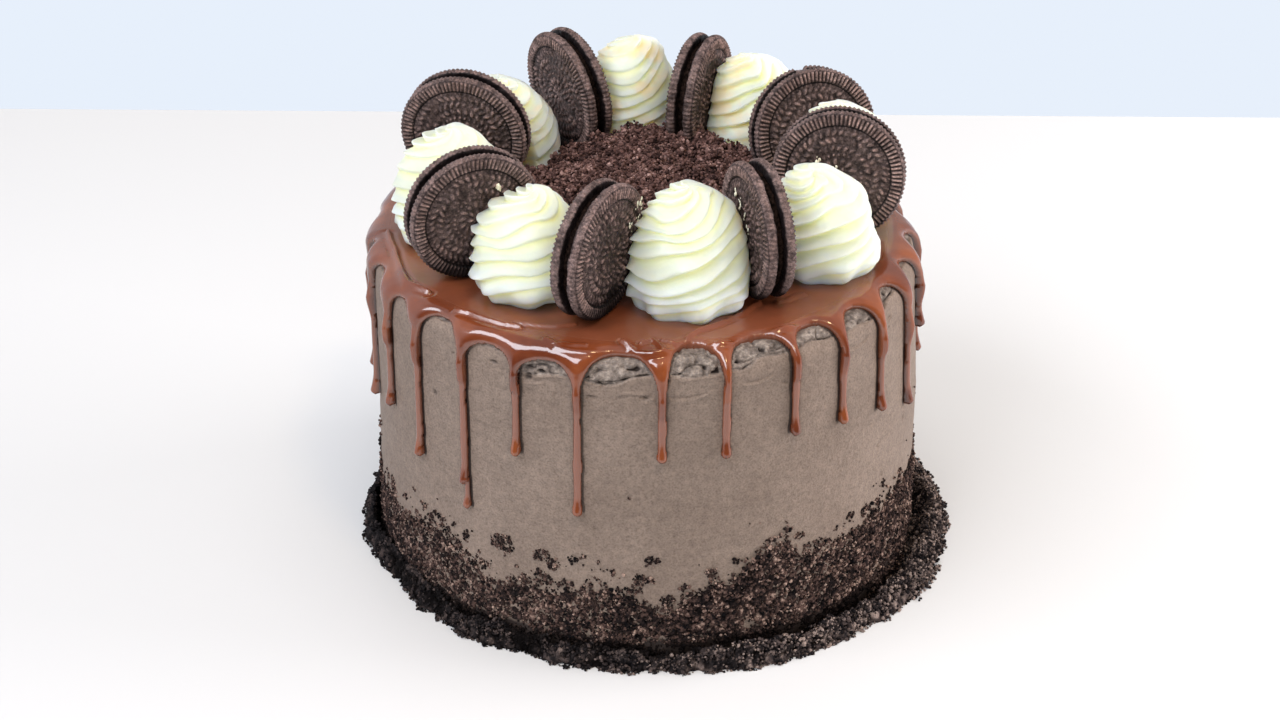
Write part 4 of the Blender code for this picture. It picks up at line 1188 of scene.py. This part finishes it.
def crumb_cloud(places, sizes, seed, shape):
    """Points and faces of one irregular crumb at each place, and each point's tone."""
    chance = np.random.default_rng(seed)
    corners, faces = shape
    shapes = corners * chance.uniform(0.78, 1.22, (CRUMB_VARIANTS, len(corners), 1))
    shapes = shapes * chance.uniform(0.7, 1.15, (CRUMB_VARIANTS, 1, 3))
    kind = chance.integers(0, CRUMB_VARIANTS, len(places))
    points = shapes[kind] @ random_turns(len(places), chance) * sizes[:, None, None] + places[:, None, :]
    tones = 0.14 + 0.72 * chance.random(len(places)) + 0.42 * noise(places, CLUMP_SIZE, seed)
    tones = np.repeat(np.clip(tones, 0.0, 1.0), len(corners))
    offset = np.arange(len(places))[:, None, None] * len(corners)
    return points.reshape(-1, 3), (faces + offset).reshape(-1, 3), tones


def random_turns(count, chance):
    """Rotation matrices in random directions."""
    quaternion = chance.normal(size=(count, 4))
    quaternion /= np.linalg.norm(quaternion, axis=1, keepdims=True)
    crossed = np.cross(quaternion[:, None, 1:], np.eye(3)).transpose(0, 2, 1)
    return np.eye(3) + 2 * (quaternion[:, :1, None] * crossed + crossed @ crossed)


def crumb_relief(points, coarse, fine, seed):
    """Height of packed crumbs of two sizes at points, with their tone and the painted shade in their gaps."""
    large, tone = lumps(points, coarse, seed)
    small, fine_tone = lumps(points, fine, seed + 1)
    clumpy = noise(points, CLUMP_SIZE, seed + 5)
    # Painted shade in the gaps between the lumps.
    crevice_shade = 0.9 * (1 - smooth_step((0.6 * large + 0.4 * small - 0.31 + 0.15 * clumpy) / 0.4))
    tone = np.clip(0.6 * tone + 0.4 * fine_tone + 0.3 * clumpy, 0.0, 1.0)
    return 0.5 * coarse * large + 0.4 * fine * small, {"tone": tone, "crevice_shade": crevice_shade}


def clumps(places, normals, chance, grains, spread):
    """Places of grains that stick together in a clump round each place, on its outer side."""
    way = chance.normal(size=(len(places), grains, 3))
    way /= np.linalg.norm(way, axis=-1, keepdims=True)
    inwards = np.minimum((way * normals[:, None]).sum(axis=-1, keepdims=True), 0.0)
    way = way - 1.6 * inwards * normals[:, None]
    way = way * spread * chance.uniform(0.55, 1.25, (len(places), 1, 1))
    return (places[:, None] + way * chance.uniform(0.5, 1.0, (len(places), grains, 1))).reshape(-1, 3)


def loose_crumbs(name, seed, sizes, grains, places, normals, chance, bedding, material):
    """Piece of loose crumbs or clumps at places.

    The sizes are the least, the most and how few are large. The bedding says how low and how high
    they lie along the normals, how wide a clump is, and the least height of their middles, all but
    the clump's width as shares of their size.
    """
    least, most, few_large = sizes
    lowest, highest, spread, resting = bedding
    if grains > 1:
        places = clumps(places, normals, chance, grains, spread)
        normals = np.repeat(normals, grains, axis=0)
    sizes = least + (most - least) * chance.random(len(places)) ** few_large
    places = places + normals * (sizes * chance.uniform(lowest, highest, len(places)))[:, None]
    places[:, 2] = np.maximum(places[:, 2], resting * sizes)
    clear = outside_cookies(places, 0.3)
    shape = OCTAHEDRON if name.endswith("grains") else ICOSAHEDRON
    points, faces, tones = crumb_cloud(places[clear], sizes[clear], seed, shape)
    points[:, 2] = np.maximum(points[:, 2], 0.0)
    if name.startswith("heap"):
        tones = heap_tone(tones, points)
    mesh_piece(name, points, [faces], material, shade={"tone": tones, "crevice_shade": gap_shade(points)})


def outside_cookies(places, margin):
    """Which places are clear of every cookie."""
    clear = np.ones(len(places), dtype=bool)
    half = WAFER_THICKNESS + FILLING_SPACE / 2 + margin
    for number in range(len(COOKIES)):
        _, _, depth, beside = from_cookie(places, number + 1)
        clear &= (np.abs(depth) > half) | (beside > COOKIE_RADIUS + margin)
    return clear


def mound_reach(azimuth):
    """How far the crumbs on top go before they meet a swirl."""
    way = at(azimuth, 1.0, 0.0)
    reach = np.full(len(azimuth), MOUND_RADIUS)
    for ring, swirl_azimuth, deep, wide, *_ in SWIRLS:
        middle = at(swirl_azimuth, ring, 0.0)
        size = max(deep, wide) + 1.0
        along = way @ middle
        missed = np.linalg.norm(middle - way * along[:, None], axis=1)
        met = along - np.sqrt(np.maximum(size * size - missed * missed, 0.0))
        reach = np.where((along > 0) & (missed < size), np.minimum(reach, met), reach)
    return reach


def mound_points(azimuth, part):
    """Points on the heap at azimuths and parts of its radius."""
    back = np.maximum(0.0, np.cos(np.radians(azimuth - MOUND_BACK_AZIMUTH))) ** 3
    edge = MOUND_EDGE_HEIGHT + MOUND_BACK_RISE * back
    height = MOUND_HEIGHT + (edge - MOUND_HEIGHT) * part * part
    slope = smooth_step((1.0 - part) / 0.07)
    points = at(azimuth, mound_reach(azimuth) * part, STANDING_HEIGHT + height * slope)
    points[:, 2] += 1.3 * noise(points, 8.0, 81) + 1.5 * noise(points, 3.6, 82)
    return points


def build_mound(material):
    """Core of the heap on top, then loose crumbs over it."""
    columns = 420
    azimuth = np.arange(columns) * 360.0 / columns
    parts = np.concatenate([[1.0, 0.985, 0.965, 0.94], np.linspace(0.92, 0.04, 92)])
    core = np.array([mound_points(azimuth, np.full(columns, part)) for part in parts])
    bumps, shade = crumb_relief(core, 2.6, 1.2, 83)
    core[..., 2] += bumps - 1.6
    core[0, :, 2] = STANDING_HEIGHT - 0.5
    mesh_piece("mound_core", core, capped_faces(len(parts), columns), material, ["crumb_mound"],
               shade=shade)
    for name, count, seed, sizes, grains in MOUND_CRUMBS:
        chance = np.random.default_rng(seed)
        places = mound_points(chance.uniform(0, 360, count), np.sqrt(chance.random(count)))
        upwards = np.repeat([[0.0, 0.0, 1.0]], count, axis=0)
        loose_crumbs(name, seed, sizes, grains, places, upwards, chance, (-0.6, 0.35, 1.9, 0.0), material)


def heap_reach(azimuth):
    """Distance from the axis to the outer foot of the crumbs on the floor."""
    side = np.sin(np.radians(azimuth))
    drawn_in_azimuth, spread, drawn_in = HEAP_DRAWN_IN
    drawn_in = drawn_in * bell(turned(azimuth, drawn_in_azimuth), spread)
    return HEAP_RADIUS + HEAP_TO_RIGHT * side + HEAP_AT_SIDES * side * side - drawn_in


def heap_profile(azimuth, part):
    """Radius and height of the low heap, from the wall at part 0 to its outer foot at part 1."""
    way = at(azimuth, CAKE_RADIUS, 0.0)
    reach = heap_reach(azimuth) + 1.6 * noise(way, 14.0, 102) + 1.5 * noise(way, 5.0, 103) - 0.8
    reach = reach + 1.1 * noise(way, 2.4, 105)
    raised_azimuth, spread, raised = HEAP_RAISED
    uneven = 1 + 0.36 * noise(way, 11.0, 101) + 0.32 * noise(way, 4.0, 104)
    uneven = uneven * (1 + raised * bell(turned(azimuth, raised_azimuth), spread))
    crest = 0.60
    inner = 0.03 + 0.97 * smooth_step((part - 0.12) / (crest - 0.12))
    outer = np.maximum(0, 1 - (np.maximum(part - crest, 0) / (1 - crest)) ** 1.7) ** 0.75
    height = HEAP_HEIGHT * 0.88 * uneven * np.where(part < crest, inner, outer)
    return CAKE_RADIUS + (reach - CAKE_RADIUS) * part, height


def crumb_cover(azimuth, height):
    """How thickly crumbs cover the side there, from 0 to 1."""
    place = at(azimuth, CAKE_RADIUS, height)
    ragged = 2.4 * noise(place, 4.0, 111) + 1.8 * noise(place, 1.6, 112)
    cover = smooth_step((around(azimuth, CRUMB_EDGE) - 1.2 + ragged - height) / 3.0)
    thin_band = smooth_step((THIN_BAND_TOP - height) / 5.0)
    bare = 0.35 * noise(place, (6.5, 6.5, 4.0), 113) + 0.25 * noise(place, 2.2, 114)
    return cover * (1 - 0.95 * smooth_step((bare - 0.26 + 0.30 * thin_band) / 0.3))


def edge_cover(azimuth, height):
    """How thickly loose crumbs cover the side along the coat's ragged upper edge, from 0 to 1."""
    above = height - around(azimuth, CRUMB_EDGE)
    place = at(azimuth, CAKE_RADIUS, height)
    clumpy = noise(place, 3.4, 117) + 0.6 * noise(place, 1.7, 118) + 0.1 - 0.11 * above
    return smooth_step((above + 6.0) / 2.5) * smooth_step((6.5 - above) / 3.0) * smooth_step(clumpy / 0.3)


def patch_cover(azimuth, height):
    """How thickly the loose patches above the edge cover the side, from 0 to 1."""
    place = at(azimuth, CAKE_RADIUS, height)
    ragged = 0.45 * noise(place, 2.6, 115) + 0.3 * noise(place, 1.3, 116)
    cover = np.zeros(np.shape(height))
    for patch_azimuth, patch_height, radius in CRUMB_PATCHES:
        off = turned(azimuth, patch_azimuth) * MM_PER_DEGREE
        far = np.hypot(off, (height - patch_height) * 1.25) / radius
        cover = np.maximum(cover, smooth_step((1.1 - far + ragged) / 0.35))
    return cover


def heap_tone(tones, points):
    """Tones of the heap, painted lighter on its right where more light falls."""
    right = points[..., 0] / np.hypot(points[..., 0], points[..., 1])
    return np.clip(tones * (0.98 + 0.30 * right), 0.0, 1.0)


def gap_shade(points):
    """How much painted shade points get in the gap between the coat and the heap, from 0 to 1."""
    x, y, z = np.moveaxis(points, -1, 0)
    dark = around(np.degrees(np.arctan2(x, -y)), GAP_DARKNESS)
    beyond = np.hypot(x, y) - CAKE_RADIUS
    return dark * smooth_step((GAP_TOP - z) / 2.5) * smooth_step((GAP_WIDTH - beyond) / 1.2)


def build_skirt(material, dark_material):
    """Cores of the crumbs pressed on the side and heaped round the foot, then loose ones over them."""
    columns = 1600
    azimuth = np.arange(columns) * 360.0 / columns
    height = np.arange(46.0, 1.0, -0.42)[:, None] + np.zeros(columns)
    bumps, shade = crumb_relief(at(azimuth, CAKE_RADIUS, height), 1.7, 1.0, 121)
    lift = np.maximum(crumb_cover(azimuth, height) * 1.6 - 1.95 + bumps, -0.9)
    points = at(azimuth, CAKE_RADIUS + lift, height)
    quads = grid_faces(len(height), columns)[:, ::-1]
    quads = quads[(lift.ravel()[quads] > -0.85).any(axis=1)]
    # Painted shade in the gap between the coat and the heap.
    shade["crevice_shade"] = np.maximum(shade["crevice_shade"], gap_shade(points))
    mesh_piece("side_crumb_core", points, [quads], material, ["crumb_skirt"], shade=shade)

    columns = 1200
    azimuth = np.arange(columns) * 360.0 / columns
    part = np.concatenate([[-0.12], np.linspace(0.02, 0.98, 26), [1.0]])[:, None] + np.zeros(columns)
    radius, height = heap_profile(azimuth, part)
    points = at(azimuth, radius, height)
    bumps, shade = crumb_relief(points, 2.3, 1.3, 123)
    outwards = (0.9 * noise(points, 3.0, 125) + 0.7 * bumps - 0.8) * (part > 0.5)
    points += at(azimuth, outwards, 0.0)
    points[..., 2] = np.maximum(height + bumps - 1.5, 0.0)
    points[[0, -1], :, 2] = 0.0
    shade["tone"] = heap_tone(shade["tone"], points)
    # Painted shade in the gap between the coat and the heap.
    shade["crevice_shade"] = np.maximum(shade["crevice_shade"], gap_shade(points))
    step = np.arange(columns)
    after = (step + 1) % columns
    last = (len(part) - 1) * columns
    underside = np.stack([step, after, after + last, step + last], axis=-1)
    faces = [grid_faces(len(part), columns)[:, ::-1], underside]
    mesh_piece("heap_core", points, faces, dark_material, shade=shade)
    for kind in SIDE_CRUMBS:
        side_crumbs(*kind, material)
    for name, count, seed, sizes, grains in HEAP_CRUMBS:
        chance = np.random.default_rng(seed)
        azimuth = chance.uniform(0, 360, count)
        part = chance.uniform(0.0, 1.08, count)
        radius, height = heap_profile(azimuth, np.minimum(part, 1.0))
        places = at(azimuth, radius + np.maximum(part - 1.0, 0) * 14.0, height)
        upwards = np.repeat([[0.0, 0.0, 1.0]], count, axis=0)
        bedding = (-0.5, 0.4, 1.7, 0.62)
        loose_crumbs(name, seed, sizes, grains, places, upwards, chance, bedding, dark_material)


def side_crumbs(name, count, seed, sizes, grains, material):
    """Crumbs pressed on the side: over the coat, thicker along its upper edge, and in patches above."""
    chance = np.random.default_rng(seed)
    azimuth = chance.uniform(0, 360, count * 6)
    height = chance.uniform(1.5, 66.0, count * 6)
    cover = crumb_cover(azimuth, height)
    stray = 0.012 * np.exp(-np.maximum(height - around(azimuth, CRUMB_EDGE), 0) / 5.0)
    wanted = np.maximum(0.42 * cover, 0.8 * edge_cover(azimuth, height))
    wanted += 0.14 * (height < THIN_BAND_TOP) + stray
    wanted = np.maximum(wanted, patch_cover(azimuth, height) * (1.0 if grains == 1 else 0.3))
    chosen = np.flatnonzero(chance.random(count * 6) < wanted)[:count]
    reach = CAKE_RADIUS + 0.5 * cover[chosen] * chance.random(len(chosen))
    places = at(azimuth[chosen], reach, height[chosen])
    outwards = at(azimuth[chosen], 1.0, 0.0)
    loose_crumbs(name, seed, sizes, grains, places, outwards, chance, (0.0, 0.6, 1.1, 0.0), material)


def add_camera():
    """Camera where the photograph was taken from."""
    pitch, yaw, roll = map(math.radians, CAMERA_TURNS)
    ahead = Vector((math.sin(yaw) * math.cos(pitch), math.cos(yaw) * math.cos(pitch), -math.sin(pitch)))
    level = Vector((math.cos(yaw), -math.sin(yaw), 0.0))
    above = level.cross(ahead)
    right = level * math.cos(roll) + above * math.sin(roll)
    up = above * math.cos(roll) - level * math.sin(roll)
    data = bpy.data.cameras.new("camera")
    data.sensor_width = 36.0
    data.lens = 75.94
    data.clip_start = 0.01
    data.clip_end = 20.0
    camera = bpy.data.objects.new("camera", data)
    camera.matrix_world = Matrix((right, up, -ahead)).transposed().to_4x4()
    camera.location = Vector(CAMERA_PLACE) * MM
    bpy.context.collection.objects.link(camera)
    bpy.context.scene.camera = camera


def add_area_light(name, azimuth, elevation, distance, width, height, power, color, mirrored):
    """Soft light aimed at the cake's middle from a direction, in degrees, and a distance in metres.

    One that isn't mirrored leaves no highlight.
    """
    data = bpy.data.lights.new(name, "AREA")
    data.shape = "RECTANGLE"
    data.size = width
    data.size_y = height
    data.energy = power
    data.color = color
    light = bpy.data.objects.new(name, data)
    raised = math.radians(elevation)
    direction = Vector(at(azimuth, math.cos(raised), math.sin(raised)))
    light.location = Vector((0, 0, 0.07)) + direction * distance
    light.rotation_euler = direction.to_track_quat("Z", "Y").to_euler()
    light.visible_glossy = mirrored
    bpy.context.collection.objects.link(light)


def light_world(world):
    """Surroundings: pale wall and table below the horizon, dim in front above it, brighter at the sides."""
    look = Nodes(world, "Generated")
    axes = look.axes()

    def eased(value, low, high):
        return look.span(value, low, high, interpolation_type="SMOOTHSTEP")

    front = eased(axes["Y"], -0.05, -0.6)
    below = look.mixed(front, WALL_COLOR, TABLE_COLOR)
    behind = look.mixed(eased(axes["X"], -0.5, 0.3), (0.78, 0.81, 0.86), (0.58, 0.59, 0.60))
    above = look.mixed(front, behind, (0.10, 0.095, 0.10))
    above = look.mixed(eased(axes["Z"], 0.60, 0.85), above, (0.45, 0.46, 0.48))
    horizon = look.added(front, 0.22, axes["Z"])
    background = look.tree.nodes["Background"]
    look.feed(background.inputs["Color"], look.mixed(eased(horizon, -0.03, 0.03), below, above))
    background.inputs["Strength"].default_value = 1.0


def add_surroundings():
    """Pale floor, bright even surroundings and soft studio lights."""
    floor_mesh = bpy.data.meshes.new("floor")
    wide, deep = FLOOR_HALF_SIZE
    corners = [(-wide, -deep, 0), (wide, -deep, 0), (wide, deep, 0), (-wide, deep, 0)]
    floor_mesh.from_pydata(corners, [], [(0, 1, 2, 3)])
    floor_mesh.materials.append(floor_material())
    floor = bpy.data.objects.new("floor", floor_mesh)
    bpy.context.collection.objects.link(floor)
    bpy.context.scene.world = bpy.data.worlds.new("surroundings")
    light_world(bpy.context.scene.world)
    for light in LIGHTS:
        add_area_light(*light)
    bpy.context.scene.view_settings.view_transform = "Standard"


def main():
    """Dress the whole cake."""
    build_frosting(frosting_material())
    build_glaze(glaze_material())
    wafer = wafer_material()
    filling = filling_material()
    for number in range(1, len(COOKIES) + 1):
        build_wafer(number, "right", wafer)
        build_wafer(number, "left", wafer)
        build_filling(number, filling)
    cream = cream_material()
    for number in range(1, len(SWIRLS) + 1):
        build_swirl(number, cream)
    build_specks(speck_material())
    crumbs = crumb_material("cookie_crumbs", CRUMB_TONES)
    build_mound(crumb_material("mound_crumbs", MOUND_TONES))
    build_skirt(crumbs, crumb_material("dark_crumbs", DARK_CRUMB_TONES))
    add_camera()
    add_surroundings()


main()
